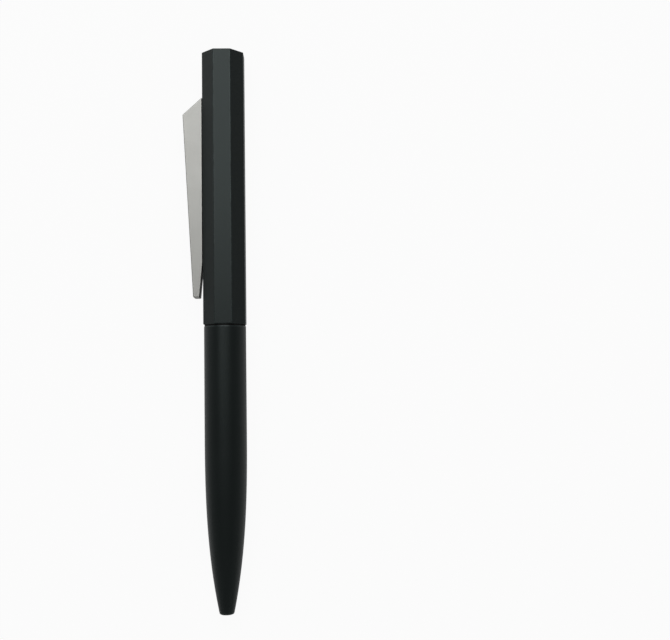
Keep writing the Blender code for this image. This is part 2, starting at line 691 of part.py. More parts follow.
def build_refill_point(parent):
    """Turn the point: rim, bullet taper, shank, collar, spigot, ink bore, feed and the ball's cup."""
    tip, ball_radius = POINT_HIDDEN, BALL_DIAMETER / 2
    cup_radius, cup_height = ball_radius + BALL_PLAY, tip + ball_radius
    rim_angle = math.asin((BALL_SHOWS - ball_radius) / cup_radius)
    rim_radius = cup_radius * math.cos(rim_angle) + RIM_WALL
    point_radius, collar_start = POINT_DIAMETER / 2, tip + POINT_LENGTH - COLLAR_LENGTH
    taper = []
    for step in range(POINT_STEPS + 1):
        share = step / POINT_STEPS
        radius = rim_radius + (point_radius - rim_radius) * (1.0 - (1.0 - share) ** POINT_TAPER_POWER)
        taper.append((radius, tip + BALL_SHOWS + POINT_TAPER * share))
    spigot_radius, spigot_end = REFILL_BORE - FIT, tip + POINT_LENGTH + SPIGOT_LENGTH
    shank = [
        (point_radius, collar_start),
        (COLLAR_DIAMETER / 2, collar_start),
        (COLLAR_DIAMETER / 2, tip + POINT_LENGTH),
        (spigot_radius, tip + POINT_LENGTH),
        (spigot_radius, spigot_end),
    ]
    feed_radius, bore_radius = INK_FEED / 2, INK_BORE / 2
    feed_angle = math.acos(feed_radius / cup_radius)
    bores = [
        (bore_radius, spigot_end),
        (bore_radius, cup_height + cup_radius + FEED_LENGTH),
        (feed_radius, cup_height + cup_radius + FEED_LENGTH),
    ]
    cup = arc((0.0, cup_height), cup_radius, feed_angle, rim_angle, ARC_STEPS)
    return turn("refill_point", taper + shank + bores + cup, SMALL_SIDES, parent, "nickel_silver")


def build_writing_ball(parent):
    """Turn the ball that carries ink from the cup to the paper; its parent sits at its centre."""
    radius = BALL_DIAMETER / 2
    outline = arc((0.0, 0.0), radius, -math.pi / 2, math.pi / 2, RING_STEPS)
    outline[0], outline[-1] = (0.0, -radius), (0.0, radius)
    return turn("writing_ball", outline, BALL_SIDES, parent, "carbide")


def build_pen():
    """Build every piece on the axis that it moves with."""
    clear_scene()
    pen = add_empty("pen_axis", None, (0.0, -REST_HEIGHT, BODY_RADIUS), (-math.pi / 2, 0.0, 0.0))
    twist = add_empty("twist_axis", pen)
    slide = add_empty("refill_axis", twist)
    ball = add_empty("ball_centre", slide, (0.0, 0.0, POINT_HIDDEN + BALL_DIAMETER / 2))
    pivot = add_empty("clip_pivot", pen, (-PIVOT_RADIUS, 0.0, PIVOT_HEIGHT))

    build_upper_barrel(pen)
    build_end_plug(pen)
    build_clip_carrier(pen)
    build_clip_pin(pen)
    build_clip_spring(pen)
    build_cam_sleeve(pen)
    turn_tube(
        "thrust_washer", CAM_INNER, CAM_OUTER - FIT, WASHER_START, WASHER_START + WASHER_THICKNESS,
        TUBE_SIDES, pen, "spring_steel",
    )
    build_clip(pivot)

    build_lower_barrel(twist)
    slip_start = LOWER_LENGTH + FIT
    turn_tube(
        "slip_ring", BUSH_INNER, BODY_RADIUS - SLIP_RECESS, slip_start, slip_start + SEAM - 2 * FIT,
        BARREL_SIDES, twist, "dark_slip",
    )
    turn_tube(
        "thread_bush", BUSH_INNER, BUSH_OUTER, SOCKET_START + FIT, LOWER_LENGTH - BUSH_RECESS,
        TUBE_SIDES, twist, "brass",
    )
    build_threaded_stub(twist)
    build_drag_ring(twist)
    build_guide_tube(twist)
    build_retaining_ring(twist)
    coil(
        "return_spring", (0.0, 0.0, SPRING_START), (0.0, 0.0, SPRING_START + SPRING_LENGTH),
        SPRING_DIAMETER / 2, SPRING_WIRE, SPRING_TURNS, twist, "spring_steel",
    )

    build_plunger(slide)
    build_drive_pin(slide)
    build_refill_tube(slide)
    build_refill_point(slide)
    build_writing_ball(ball)
    print(f"pen length {PEN_LENGTH / MM:.2f} mm, travel of the point {TRAVEL / MM:.2f} mm")


build_pen()
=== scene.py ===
"""Looks of a twist ballpoint pen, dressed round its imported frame.

The pen lies on one facet of its upper barrel. Its pieces are surfaces worked out with numpy in the pen's own
terms: heights run up the axis from the nose, radii run out from the axis, and the clip stands out from the
facet on the -X side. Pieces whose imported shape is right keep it, and are only given their finish.
"""

import json
import logging
import math
from dataclasses import dataclass
from enum import Enum
from typing import Any, Optional, Sequence, Union

import bpy
import numpy as np
from mathutils import Matrix, Vector


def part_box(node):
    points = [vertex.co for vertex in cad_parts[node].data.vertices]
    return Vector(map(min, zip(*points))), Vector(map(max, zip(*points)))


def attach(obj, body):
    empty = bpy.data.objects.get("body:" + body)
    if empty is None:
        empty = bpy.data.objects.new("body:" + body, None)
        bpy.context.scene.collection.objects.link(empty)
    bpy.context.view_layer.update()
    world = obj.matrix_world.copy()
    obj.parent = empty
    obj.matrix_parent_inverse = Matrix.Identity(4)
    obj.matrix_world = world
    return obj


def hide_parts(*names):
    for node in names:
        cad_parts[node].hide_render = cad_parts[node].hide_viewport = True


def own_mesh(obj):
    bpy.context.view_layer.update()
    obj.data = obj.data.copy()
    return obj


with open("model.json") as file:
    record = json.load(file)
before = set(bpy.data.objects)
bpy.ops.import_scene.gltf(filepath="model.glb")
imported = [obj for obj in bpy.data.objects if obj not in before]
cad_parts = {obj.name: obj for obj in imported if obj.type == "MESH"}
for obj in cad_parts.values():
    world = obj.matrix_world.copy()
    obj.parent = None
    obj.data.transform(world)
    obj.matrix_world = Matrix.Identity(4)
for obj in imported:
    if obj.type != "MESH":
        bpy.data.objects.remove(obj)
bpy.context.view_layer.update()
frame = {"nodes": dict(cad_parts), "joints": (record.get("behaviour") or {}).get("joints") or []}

LOG = logging.getLogger("pen")
PHOTO_WIDTH = 670
MM = 0.001
TAU = 2.0 * math.pi
QUARTER = math.pi / 2
HOLD = 0.12 * MM  # how close to an arc a straight keeps a point, so that flats shade flat
HOLD_SHARE = 0.3  # the most of a short straight that this takes
WELD = 0.000001 * MM  # the grid on which points that meet become one
TINY = 1e-12
SHARP = math.radians(40.0)  # the bend above which an edge shades sharp
EDGE = "edge"  # the attribute that says how far a point lies on an edge, for wear and, on the black finish, a painted highlight
SOFT, RICH = 2.0, 3.0  # how much detail a noise has
NOISE_ROUGHNESS = 0.55
NOISE_MEAN = 0.5

Array = np.ndarray
Spread = Union[Array, Sequence[float], float]
Corners = Union[Array, Sequence[tuple[float, float]]]
Colour = tuple[float, float, float]
Paint = tuple[float, float, float, float]


class Body(Enum):
    """The bodies of the frame that pieces ride on."""

    UPPER = "upper"
    CLIP = "clip"
    LOWER = "lower"
    REFILL = "refill"
    BALL = "ball"


class Slot(Enum):
    """The record's material slots."""

    BLACK = "black_anodised"
    NICKEL = "satin_nickel"
    SLIP = "dark_slip"
    WHITE_ACETAL = "white_acetal"
    GREY_ACETAL = "grey_acetal"
    BRASS = "brass"
    SPRING = "spring_steel"
    TUBE = "refill_steel"
    POINT = "nickel_silver"
    CARBIDE = "carbide"
    RUBBER = "rubber"


class Grain(Enum):
    """Which way the fine lines of a surface run: the scale of their pattern along X, Y and Z."""

    ALONG = (1.0, 0.02, 1.0)
    AROUND = (0.02, 1.0, 0.02)
    EVEN = (1.0, 1.0, 1.0)


class Along(Enum):
    """The axis of the frame that a coil runs along, by its number."""

    X = 0
    Y = 1


@dataclass(frozen=True)
class Reach:
    """Where a turned node lies on the pen: its heights above the nose and its outer radius."""

    start: float
    end: float
    radius: float

    @property
    def middle(self) -> float:
        """Return the height of its middle."""
        return (self.start + self.end) / 2


@dataclass(frozen=True)
class PenAxis:
    """The pen's axis in the frame, from the nose at a Y up to the top end, at a level above the table."""

    nose: float
    level: float

    @classmethod
    def of_frame(cls) -> "PenAxis":
        """Return the axis of the lower barrel's node."""
        low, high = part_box("lower_barrel")
        return cls(nose=low.y, level=(low.z + high.z) / 2)

    def reach(self, node: str) -> Reach:
        """Return the heights and the radius of a turned node, from its box."""
        low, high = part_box(node)
        return Reach(low.y - self.nose, high.y - self.nose, (high.z - low.z) / 2)

    def place(self, radius: Spread, angle: Spread, height: Spread) -> Array:
        """Return points in the frame from radii, angles and heights that spread over one another.

        A point stands at radius times the cosine of its angle along X, at its height above the nose along Y,
        and at radius times the sine of its angle above the axis along Z.

        Args:
            radius: distances from the axis.
            angle: angles from +X towards +Z.
            height: heights above the nose.

        Returns:
            An array of points whose last axis is x, y, z.
        """
        radius, angle, height = np.broadcast_arrays(radius, angle, height)
        across, up = radius * np.cos(angle), radius * np.sin(angle)
        return np.stack([across, self.nose + height, self.level + up], axis=-1)


def grid_faces(rows: int, columns: int, wrap_rows: bool = False, wrap_columns: bool = True) -> Array:
    """Return the quads of a grid of points.

    Cell (i, j) joins point (i, j) to its neighbours at j + 1, at i + 1 and j + 1, and at i + 1, counted
    round to the start where the grid wraps.

    Args:
        rows: how many rows of points.
        columns: how many points in a row.
        wrap_rows: whether the last row joins the first.
        wrap_columns: whether the end of a row joins its start.

    Returns:
        An array of cells, rows by columns by four corner numbers.
    """
    row = np.arange(rows if wrap_rows else rows - 1)[:, None]
    column = np.arange(columns if wrap_columns else columns - 1)[None, :]
    next_row, next_column = (row + 1) % rows, (column + 1) % columns
    corners = (
        row * columns + column, row * columns + next_column,
        next_row * columns + next_column, next_row * columns + column,
    )
    return np.stack(np.broadcast_arrays(*corners), axis=-1)


def end_polygons(rows: int, columns: int) -> Array:
    """Return the two polygons that close the first and the last row of a grid."""
    row = np.arange(columns)
    return np.stack([row[::-1], row + (rows - 1) * columns])


@dataclass(frozen=True)
class Shell:
    """A closed surface: points, how far each lies on an edge, and groups of faces by corner number."""

    points: Array
    edges: Array
    faces: tuple[Array, ...]

    @classmethod
    def of_grid(cls, points: Array, edges: Spread, wrap_rows: bool = False, capped: bool = False) -> "Shell":
        """Return the shell of a grid of points whose rows close round.

        Args:
            points: rows by columns by x, y, z.
            edges: how far the points lie on an edge, spread over the grid.
            wrap_rows: whether the last row joins the first.
            capped: whether a polygon closes the first row and another the last.

        Returns:
            The shell.
        """
        shape = points.shape[:2]
        faces = [grid_faces(*shape, wrap_rows).reshape(-1, 4)]
        if capped:
            faces.append(end_polygons(*shape))
        return cls(points.reshape(-1, 3), np.broadcast_to(edges, shape).reshape(-1), tuple(faces))

    def mesh(self, name: str) -> bpy.types.Mesh:
        """Make a mesh that is welded and faces outwards.

        Points that meet become one, and corners that fell together are dropped, which closes poles and
        seams. The signed volume is the sum over each face's fan of triangles of a . (b x c) / 6; where it is
        negative every face is turned round.

        Args:
            name: the mesh's name.

        Returns:
            The mesh, shaded smooth, with the edge values in an attribute.
        """
        keys = np.round(self.points / WELD).astype(np.int64)
        _, first, welded = np.unique(keys, axis=0, return_index=True, return_inverse=True)
        points, welded = self.points[first], welded.reshape(-1)
        corners, sizes = [], []
        for group in self.faces:
            group = welded[group]
            apart = group != np.roll(group, -1, axis=1)
            whole = apart.sum(axis=1) > 2
            corners.append(group[whole][apart[whole]])
            sizes.append(apart[whole].sum(axis=1))
        corner, size = np.concatenate(corners), np.concatenate(sizes)
        start = np.cumsum(size) - size
        after = np.arange(len(corner)) + 1
        after[start + size - 1] = start
        fan = np.repeat(corner[start], size)
        crossed = np.cross(points[corner], points[corner[after]])
        if np.sum(points[fan] * crossed) < 0.0:
            corner, size = corner[::-1], size[::-1]
            start = np.cumsum(size) - size
        mesh = bpy.data.meshes.new(name)
        mesh.vertices.add(len(points))
        mesh.vertices.foreach_set("co", points.astype(np.float32).ravel())
        mesh.loops.add(len(corner))
        mesh.loops.foreach_set("vertex_index", corner.astype(np.int32))
        mesh.polygons.add(len(size))
        mesh.polygons.foreach_set("loop_start", start.astype(np.int32))
        mesh.update(calc_edges=True)
        edge_share = mesh.attributes.new(EDGE, "FLOAT", "POINT")
        edge_share.data.foreach_set("value", self.edges[first].astype(np.float32))
        mesh.shade_smooth()
        mesh.set_sharp_from_angle(angle=SHARP)
        return mesh


def unit(vectors: Array) -> Array:
    """Return vectors brought to a length of one."""
    return vectors / np.maximum(np.linalg.norm(vectors, axis=-1, keepdims=True), TINY)


def round_angles(count: int) -> Array:
    """Return evenly spaced angles of one turn."""
    return np.linspace(0.0, TAU, count, endpoint=False)


def ease(share: Array) -> Array:
    """Return a share held between 0 and 1 and eased at both: s s (3 - 2 s)."""
    share = np.clip(share, 0.0, 1.0)
    return share * share * (3.0 - 2.0 * share)


def profile(radius: Spread, height: Spread, edge: float = 0.0) -> Array:
    """Return rows of (radius, height, edge) from values that spread over one another."""
    return np.column_stack(np.broadcast_arrays(radius, height, edge))


def stepped(radii: Sequence[float], heights: Sequence[float]) -> Array:
    """Return the corners of a stepped shaft or bore, whose radius goes to the next one at each height."""
    return np.column_stack([np.repeat(radii, 2)[1:-1], np.repeat(heights, 2)])


def rounded(corners: Corners, radius: Spread, closed: bool = True, steps: int = 5) -> Array:
    """Return an outline with an arc in place of each corner.

    With unit directions a and b from a corner to its neighbours, and t the angle between them, the arc's
    centre lies radius / sin(t / 2) from the corner along a + b. The arc swings from its start to its end as
    (sin((1 - u) p) start + sin(u p) end) / sin(p), with p = pi - t and u from 0 to 1. Beside each arc the
    straight keeps a point close by.

    Args:
        corners: the outline's corners, one (u, v) pair a row.
        radius: the arcs' radius, or one for each corner, where 0 keeps the corner.
        closed: whether the last corner joins the first; an open outline keeps its two ends.
        steps: how many chords an arc has.

    Returns:
        One (u, v, edge) row for each point, where edge is 1 on an arc and 0 on a straight.
    """
    corners = np.asarray(corners, float)
    bend = np.array(np.broadcast_to(radius, len(corners)), float)[:, None]
    if not closed:
        bend[[0, -1]] = 0.0
    back, ahead = (unit(np.roll(corners, way, axis=0) - corners) for way in (1, -1))
    between = np.arccos(np.clip(np.sum(back * ahead, axis=1), -1.0, 1.0))[:, None]
    centre = corners + unit(back + ahead) * bend / np.sin(between / 2)
    touch = bend / np.tan(between / 2)
    start, end = corners + back * touch - centre, corners + ahead * touch - centre
    swing = (math.pi - between)[:, :, None]
    share = np.linspace(0.0, 1.0, steps + 1)[None, :, None]
    arcs = np.sin((1 - share) * swing) * start[:, None] + np.sin(share * swing) * end[:, None]
    arcs = centre[:, None] + arcs / np.maximum(np.sin(swing), TINY)
    leave, arrive = arcs[:, -1], np.roll(arcs[:, 0], -1, axis=0)
    run = arrive - leave
    kept = np.minimum(HOLD / np.maximum(np.linalg.norm(run, axis=1, keepdims=True), TINY), HOLD_SHARE)
    straights = np.stack([leave + run * kept, arrive - run * kept], axis=1)
    outline = np.concatenate([arcs, straights], axis=1)
    on_arc = np.broadcast_to((bend > 0.0)[:, :, None], arcs[:, :, :1].shape)
    edge = np.concatenate([on_arc, np.zeros_like(straights[:, :, :1])], axis=1)
    outline = np.concatenate([outline, edge], axis=2).reshape(-1, 3)
    return outline if closed else outline[:-2]


def lathe(axis: PenAxis, outline: Array, sides: int, relief: Spread = 0.0) -> Shell:
    """Turn an outline round the pen's axis.

    Point (i, j) stands at the radius of outline point i plus its relief, at the height of outline point i
    and at the angle j / sides of a turn. An outline that starts on the axis makes a solid from pole to pole,
    and any other closes into a ring.

    Args:
        axis: the pen's axis.
        outline: rows of (radius, height, edge).
        sides: how many points go round.
        relief: what to add to the radius, for each outline point and angle.

    Returns:
        The turned surface.
    """
    radius, height, edge = (outline[:, column, None] for column in range(3))
    points = axis.place(radius + relief, round_angles(sides), height)
    return Shell.of_grid(points, edge, wrap_rows=bool(outline[0, 0] > 0.0))


def cross_pin(node: str, edge: float, sides: int = 48) -> Shell:
    """Return a round pin that lies across the pen where a node does, with rounded ends.

    Point (i, j) stands at outline radius i and angle j round the node's own centre line along Z.

    Args:
        node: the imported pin.
        edge: the radius round its ends.
        sides: how many points go round.

    Returns:
        The pin's surface.
    """
    low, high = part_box(node)
    outline = rounded(stepped([0.0, (high.x - low.x) / 2, 0.0], [low.z, high.z]), edge, closed=False)
    radius, level, edge_share = (outline[:, column, None] for column in range(3))
    angle = round_angles(sides)
    points = np.stack(np.broadcast_arrays(
        (low.x + high.x) / 2 + radius * np.cos(angle), (low.y + high.y) / 2 + radius * np.sin(angle), level,
    ), axis=-1)
    return Shell.of_grid(points, edge_share)


def drawn_wire(path: Array, normal: Array, radius: float, sides: int = 14) -> Shell:
    """Carry a circle along a path, drawn in to a round tip at both ends.

    Ring i lies at path point i: radius times (cos v normal + sin v (tangent x normal)). Within one radius of
    an end, at a distance s from it, the ring shrinks by sqrt(1 - (1 - s / radius)^2).

    Args:
        path: the wire's centre line.
        normal: a unit vector across the wire at each path point.
        radius: the wire's radius.
        sides: how many points go round the wire.

    Returns:
        The wire's surface.
    """
    run = np.concatenate([[0.0], np.cumsum(np.linalg.norm(np.diff(path, axis=0), axis=1))])
    from_end = np.minimum(np.minimum(run, run[-1] - run) / radius, 1.0)
    thick = radius * np.sqrt(np.clip(1.0 - (1.0 - from_end) ** 2, 0.0, 1.0))
    binormal = np.cross(unit(np.gradient(path, run, axis=0)), normal)
    angle = round_angles(sides)[None, :, None]
    ring = np.cos(angle) * normal[:, None] + np.sin(angle) * binormal[:, None]
    return Shell.of_grid(path[:, None] + thick[:, None, None] * ring, 0.0)


@dataclass(frozen=True)
class Coil:
    """A coil spring where a node lies: it runs along one axis of the frame, and its end turns lie closed."""

    node: str
    along: Along
    centre: tuple[float, float, float]
    wire: float
    turns: float
    points: int = 36
    tip_points: int = 5
    closed_turns: float = 0.75
    ease_turns: float = 0.5
    closed_pitch: float = 1.06

    def rise(self, length: float) -> tuple[Array, Array]:
        """Return the wire's angles and its rise along the coil.

        The pitch is the closed one, counted in wires, over the closed turns at both ends, and eases to an
        even pitch between them. The rise is its running sum, scaled to end one wire short of the length. The
        points draw together towards the two tips, which are round.

        Args:
            length: the coil's length over its ends.

        Returns:
            The angle and the height of each point of the wire's centre line.
        """
        tip = np.linspace(0.0, 1.0, self.tip_points, endpoint=False) ** 2 / self.points
        whole = np.arange(1, int(self.turns * self.points)) / self.points
        turn = np.concatenate([tip, whole, self.turns - tip[::-1]])
        pitch = ease((np.minimum(turn, self.turns - turn) - self.closed_turns) / self.ease_turns)
        share, step = (pitch[1:] + pitch[:-1]) / 2, np.diff(turn)
        closed = self.wire * self.closed_pitch
        active = (length - self.wire - closed * np.sum(step * (1 - share))) / np.sum(step * share)
        rise = np.concatenate([[0.0], np.cumsum(step * (closed * (1 - share) + active * share))])
        return TAU * turn, self.wire / 2 + rise

    def shell(self) -> Shell:
        """Return the spring: its wire carried round the centre at the radius that the node's box gives.

        Returns:
            The spring's surface.
        """
        low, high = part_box(self.node)
        along = self.along.value
        turn, rise = self.rise(high[along] - low[along])
        around = np.insert(np.stack([np.cos(turn), np.sin(turn)], axis=-1), along, 0.0, axis=1)
        path = np.array(self.centre) + (high.z - low.z - self.wire) / 2 * around
        path[:, along] = low[along] + rise
        return drawn_wire(path, around, self.wire / 2)


@dataclass(frozen=True)
class Plate:
    """A flat piece: corners with their radii, carried through a thickness with rounded edges.

    Row i of its grid is the outline drawn in by inset i, at depth i. The rows run from a ring just inside
    the lower face, round the lower edge, up the side and round the upper edge to a ring just inside the
    upper face, and the two faces are closed by one polygon each.
    """

    corners: Array
    radii: Spread
    half: float
    edge: float
    steps: int = 6

    def outline(self, inset: float) -> Array:
        """Return the outline drawn in by an inset.

        With unit normals m and n that point into the plate on the two sides of a corner, the corner moves by
        inset (m + n) / (1 + m . n). Arcs of outward corners lose the inset from their radius, and arcs of
        inward corners gain it.

        Args:
            inset: how far the sides move in.

        Returns:
            Rows of (u, v, edge), as many for every inset.
        """
        following = np.roll(self.corners, -1, axis=0)
        ahead = unit(following - self.corners)
        behind = np.roll(ahead, 1, axis=0)
        area = np.sum(self.corners[:, 0] * following[:, 1] - self.corners[:, 1] * following[:, 0])
        spin = math.copysign(1.0, area)
        into = spin * np.column_stack([-ahead[:, 1], ahead[:, 0]])
        before = np.roll(into, 1, axis=0)
        shift = (before + into) / (1.0 + np.sum(before * into, axis=1, keepdims=True))
        outward = spin * (behind[:, 0] * ahead[:, 1] - behind[:, 1] * ahead[:, 0]) >= -TINY
        radii = np.where(outward, np.maximum(self.radii - inset, 0.0), self.radii + inset)
        return rounded(self.corners + inset * shift, radii, steps=self.steps)

    def rows(self, levels: tuple[float, ...] = ()) -> Array:
        """Return the rows of the grid, from the lower face to the upper.

        Args:
            levels: depths of extra rows on the side.

        Returns:
            Rows of (inset, depth, edge).
        """
        turn = np.linspace(0.0, QUARTER, self.steps)
        bend = profile(self.edge * (1.0 - np.cos(turn)), self.half - self.edge * (1.0 - np.sin(turn)), 1.0)
        shoulder, face = [0.0, self.half - self.edge - HOLD, 0.0], [self.edge + HOLD, self.half, 0.0]
        top = np.vstack([shoulder, bend, face])
        return np.concatenate([top[::-1] * (1, -1, 1), profile(0.0, levels), top])

    def grid(self, rows: Array) -> Array:
        """Return the (u, v, depth) points of the rows."""
        drawn = np.stack([self.outline(inset)[:, :2] for inset in rows[:, 0]])
        return np.insert(drawn, 2, rows[:, 1:2], axis=2)


class Socket:
    """An output of a node tree; arithmetic on it adds Math nodes."""

    def __init__(self, nodes: "Nodes", output: bpy.types.NodeSocket) -> None:
        """Keep the output and the tree that it belongs to."""
        self.nodes, self.output = nodes, output

    def math(self, operation: str, first: Any, second: Any) -> "Socket":
        """Return the result of a Math node on two values."""
        return self.nodes.node("ShaderNodeMath", {"operation": operation}, {0: first, 1: second})

    def __add__(self, other: Any) -> "Socket":
        """Add a value."""
        return self.math("ADD", self, other)

    def __radd__(self, other: Any) -> "Socket":
        """Add to a value."""
        return self.math("ADD", other, self)

    def __sub__(self, other: Any) -> "Socket":
        """Take a value away."""
        return self.math("SUBTRACT", self, other)

    def __rsub__(self, other: Any) -> "Socket":
        """Take from a value."""
        return self.math("SUBTRACT", other, self)

    def __mul__(self, other: Any) -> "Socket":
        """Multiply by a value."""
        return self.math("MULTIPLY", self, other)

    def __rmul__(self, other: Any) -> "Socket":
        """Multiply a value."""
        return self.math("MULTIPLY", other, self)

    def at_most(self, other: Any) -> "Socket":
        """Return the lesser of this and a value."""
        return self.math("MINIMUM", self, other)

    def smooth(self, low: float, high: float) -> "Socket":
        """Return 0 below low, 1 above high, and an eased ramp between them."""
        inputs = {"Value": self, "From Min": low, "From Max": high}
        return self.nodes.node("ShaderNodeMapRange", {"interpolation_type": "SMOOTHSTEP"}, inputs)

    def swing(self, amount: float) -> "Socket":
        """Return a noise as a swing to both sides of nothing, times an amount."""
        return (self - NOISE_MEAN) * amount


class Nodes:
    """Adds nodes to the tree of one material or of the world."""

    def __init__(self, tree: bpy.types.NodeTree) -> None:
        """Empty the tree."""
        tree.nodes.clear()
        self.tree = tree

    def node(
        self, kind: str, settings: Optional[dict[str, Any]] = None,
        inputs: Optional[dict[Union[int, str], Any]] = None, output: Union[int, str] = 0,
    ) -> Socket:
        """Add a node.

        Args:
            kind: the node's type.
            settings: its own settings, set first.
            inputs: values or sockets for its inputs, by name or number.
            output: which output to return.

        Returns:
            The chosen output.
        """
        made = self.tree.nodes.new(kind)
        for name, value in (settings or {}).items():
            setattr(made, name, value)
        for name, value in (inputs or {}).items():
            if isinstance(value, Socket):
                self.tree.links.new(value.output, made.inputs[name])
            else:
                made.inputs[name].default_value = value
        return Socket(self, made.outputs[output] if len(made.outputs) else None)

    def noise(self, size: float, detail: float, grain: Grain = Grain.EVEN) -> Socket:
        """Return soft noise on Object coordinates.

        Args:
            size: the size of its features.
            detail: how much detail it has.
            grain: the way that it is drawn out.

        Returns:
            Values about the noise's mean.
        """
        place = self.node("ShaderNodeTexCoord", output="Object")
        drawn_out = self.node("ShaderNodeMapping", {}, {"Vector": place, "Scale": grain.value})
        inputs = {"Vector": drawn_out, "Scale": 1.0 / size, "Detail": detail, "Roughness": NOISE_ROUGHNESS}
        return self.node("ShaderNodeTexNoise", {}, inputs)

    def edge_mask(self) -> Socket:
        """Return how far a point lies on an edge, for wear and, on black, a painted highlight."""
        return self.node("ShaderNodeAttribute", {"attribute_name": EDGE}, output="Fac")

    def ray(self, kind: str) -> Socket:
        """Return 1 for rays of a kind, such as camera rays."""
        return self.node("ShaderNodeLightPath", output=f"Is {kind} Ray")

    def blend(self, share: Any, first: Any, second: Any) -> Socket:
        """Return a colour between two, by the numbers of a Mix node's colour sockets."""
        return self.node("ShaderNodeMix", {"data_type": "RGBA"}, {0: share, 6: first, 7: second}, output=2)

    def bump(self, height: Socket, depth: float, strength: float) -> Socket:
        """Return a normal that follows a height."""
        return self.node("ShaderNodeBump", {}, {"Strength": strength, "Distance": depth, "Height": height})


def shade(colour: Colour, factor: float = 1.0) -> Paint:
    """Return a colour made lighter or darker by a factor, with its alpha."""
    return (*(min(1.0, part * factor) for part in colour), 1.0)


def grey(value: float) -> Paint:
    """Return a grey with its alpha."""
    return shade((value,) * 3)


@dataclass(frozen=True)
class Finish:
    """What every finish has: its slot in the record, a colour, a roughness and its kind of surface."""

    slot: Slot
    colour: Colour
    roughness: float
    metallic: float = 0.0
    specular: float = 0.5
    tint: Colour = (1.0, 1.0, 1.0)

    def vary(self, nodes: Nodes) -> dict[str, Socket]:
        """Return what changes over the surface, by the shader's socket."""
        raise NotImplementedError

    def toned(self, nodes: Nodes, share: Socket, change: float) -> Socket:
        """Return the colour, darker by a change where the share is 0 and lighter by it where it is 1."""
        return nodes.blend(share, shade(self.colour, 1.0 - change), shade(self.colour, 1.0 + change))

    def material(self) -> bpy.types.Material:
        """Return the finish's material, made the first time it is asked for.

        Returns:
            The material, which all pieces of this finish share.
        """
        name = f"{self.slot.value}_finish"
        ready = bpy.data.materials.get(name)
        if ready is not None:
            return ready
        material = bpy.data.materials.new(name)
        material.use_nodes = True
        nodes = Nodes(material.node_tree)
        surface = nodes.node("ShaderNodeBsdfPrincipled", {}, {
            "Metallic": self.metallic, "Specular IOR Level": self.specular,
            "Specular Tint": shade(self.tint), **self.vary(nodes),
        })
        nodes.node("ShaderNodeOutputMaterial", {}, {"Surface": surface})
        return material


@dataclass(frozen=True)
class BlastedAnodise(Finish):
    """Dyed anodised aluminium with a fine bead-blasted grain, its edges lighter by wear and a painted
    highlight.
    """

    bead: float = 0.11 * MM
    bead_depth: float = 0.004 * MM
    bead_bump: float = 0.35
    bead_gloss: float = 0.08
    cloud: float = 14.0 * MM
    cloud_tone: float = 0.14
    cloud_gloss: float = 0.05
    patch: float = 2.0 * MM
    patch_range: tuple[float, float] = (0.25, 0.75)
    # how much lighter the edges are painted, as wear and as a painted highlight, and how much of that shows
    rubbed_and_highlight: float = 5.0
    rubbed_and_highlight_share: float = 0.6
    polish: float = 0.12

    def vary(self, nodes: Nodes) -> dict[str, Socket]:
        """Cloud the dye, roughen it by the beads, and polish and lighten edges in patches: wear and painted
        highlight.

        Args:
            nodes: the material's nodes.

        Returns:
            Colour, roughness and normal.
        """
        beads, cloud = nodes.noise(self.bead, SOFT), nodes.noise(self.cloud, RICH)
        edge_share = nodes.edge_mask() * nodes.noise(self.patch, SOFT).smooth(*self.patch_range)
        dye = self.toned(nodes, cloud, self.cloud_tone)
        gloss = cloud.swing(self.cloud_gloss) + beads.swing(self.bead_gloss) - edge_share * self.polish
        return {
            # the edges' lighter colour is partly wear and partly a painted highlight on the arrises and the
            # rim's glint
            "Base Color": nodes.blend(edge_share * self.rubbed_and_highlight_share, dye, shade(self.colour, self.rubbed_and_highlight)),
            "Roughness": self.roughness + gloss,
            "Normal": nodes.bump(beads, self.bead_depth, self.bead_bump),
        }


@dataclass(frozen=True)
class WorkedMetal(Finish):
    """Bare metal with the fine lines that brushing, turning or drawing leaves in it."""

    metallic: float = 1.0
    grain: Grain = Grain.ALONG
    line: float = 0.08 * MM
    line_depth: float = 0.003 * MM
    line_bump: float = 0.4
    line_tone: float = 0.06
    line_gloss: float = 0.12
    smudge: float = 7.0 * MM
    smudge_gloss: float = 0.06
    worn_tone: float = 1.15
    worn_share: float = 0.4
    polish: float = 0.06

    def vary(self, nodes: Nodes) -> dict[str, Socket]:
        """Run the lines along the grain, and let edges and smudges change the gloss.

        Args:
            nodes: the material's nodes.

        Returns:
            Colour, roughness and normal.
        """
        lines, smudge = nodes.noise(self.line, RICH, self.grain), nodes.noise(self.smudge, SOFT)
        edge_share, tone = nodes.edge_mask(), self.toned(nodes, lines, self.line_tone)
        gloss = lines.swing(self.line_gloss) + smudge.swing(self.smudge_gloss) - edge_share * self.polish
        return {
            "Base Color": nodes.blend(edge_share * self.worn_share, tone, shade(self.colour, self.worn_tone)),
            "Roughness": self.roughness + gloss,
            "Normal": nodes.bump(lines, self.line_depth, self.line_bump),
        }


@dataclass(frozen=True)
class MouldedPlastic(Finish):
    """Moulded plastic or rubber: a spark-eroded skin with faint flow clouds."""

    skin: float = 0.06 * MM
    skin_depth: float = 0.006 * MM
    skin_bump: float = 0.3
    skin_gloss: float = 0.14
    flow: float = 3.0 * MM
    flow_tone: float = 0.08

    def vary(self, nodes: Nodes) -> dict[str, Socket]:
        """Cloud the colour with the flow of the melt, and grain the skin.

        Args:
            nodes: the material's nodes.

        Returns:
            Colour, roughness and normal.
        """
        flow, skin = nodes.noise(self.flow, RICH, Grain.ALONG), nodes.noise(self.skin, SOFT)
        return {
            "Base Color": self.toned(nodes, flow, self.flow_tone),
            "Roughness": self.roughness + skin.swing(self.skin_gloss),
            "Normal": nodes.bump(skin, self.skin_depth, self.skin_bump),
        }


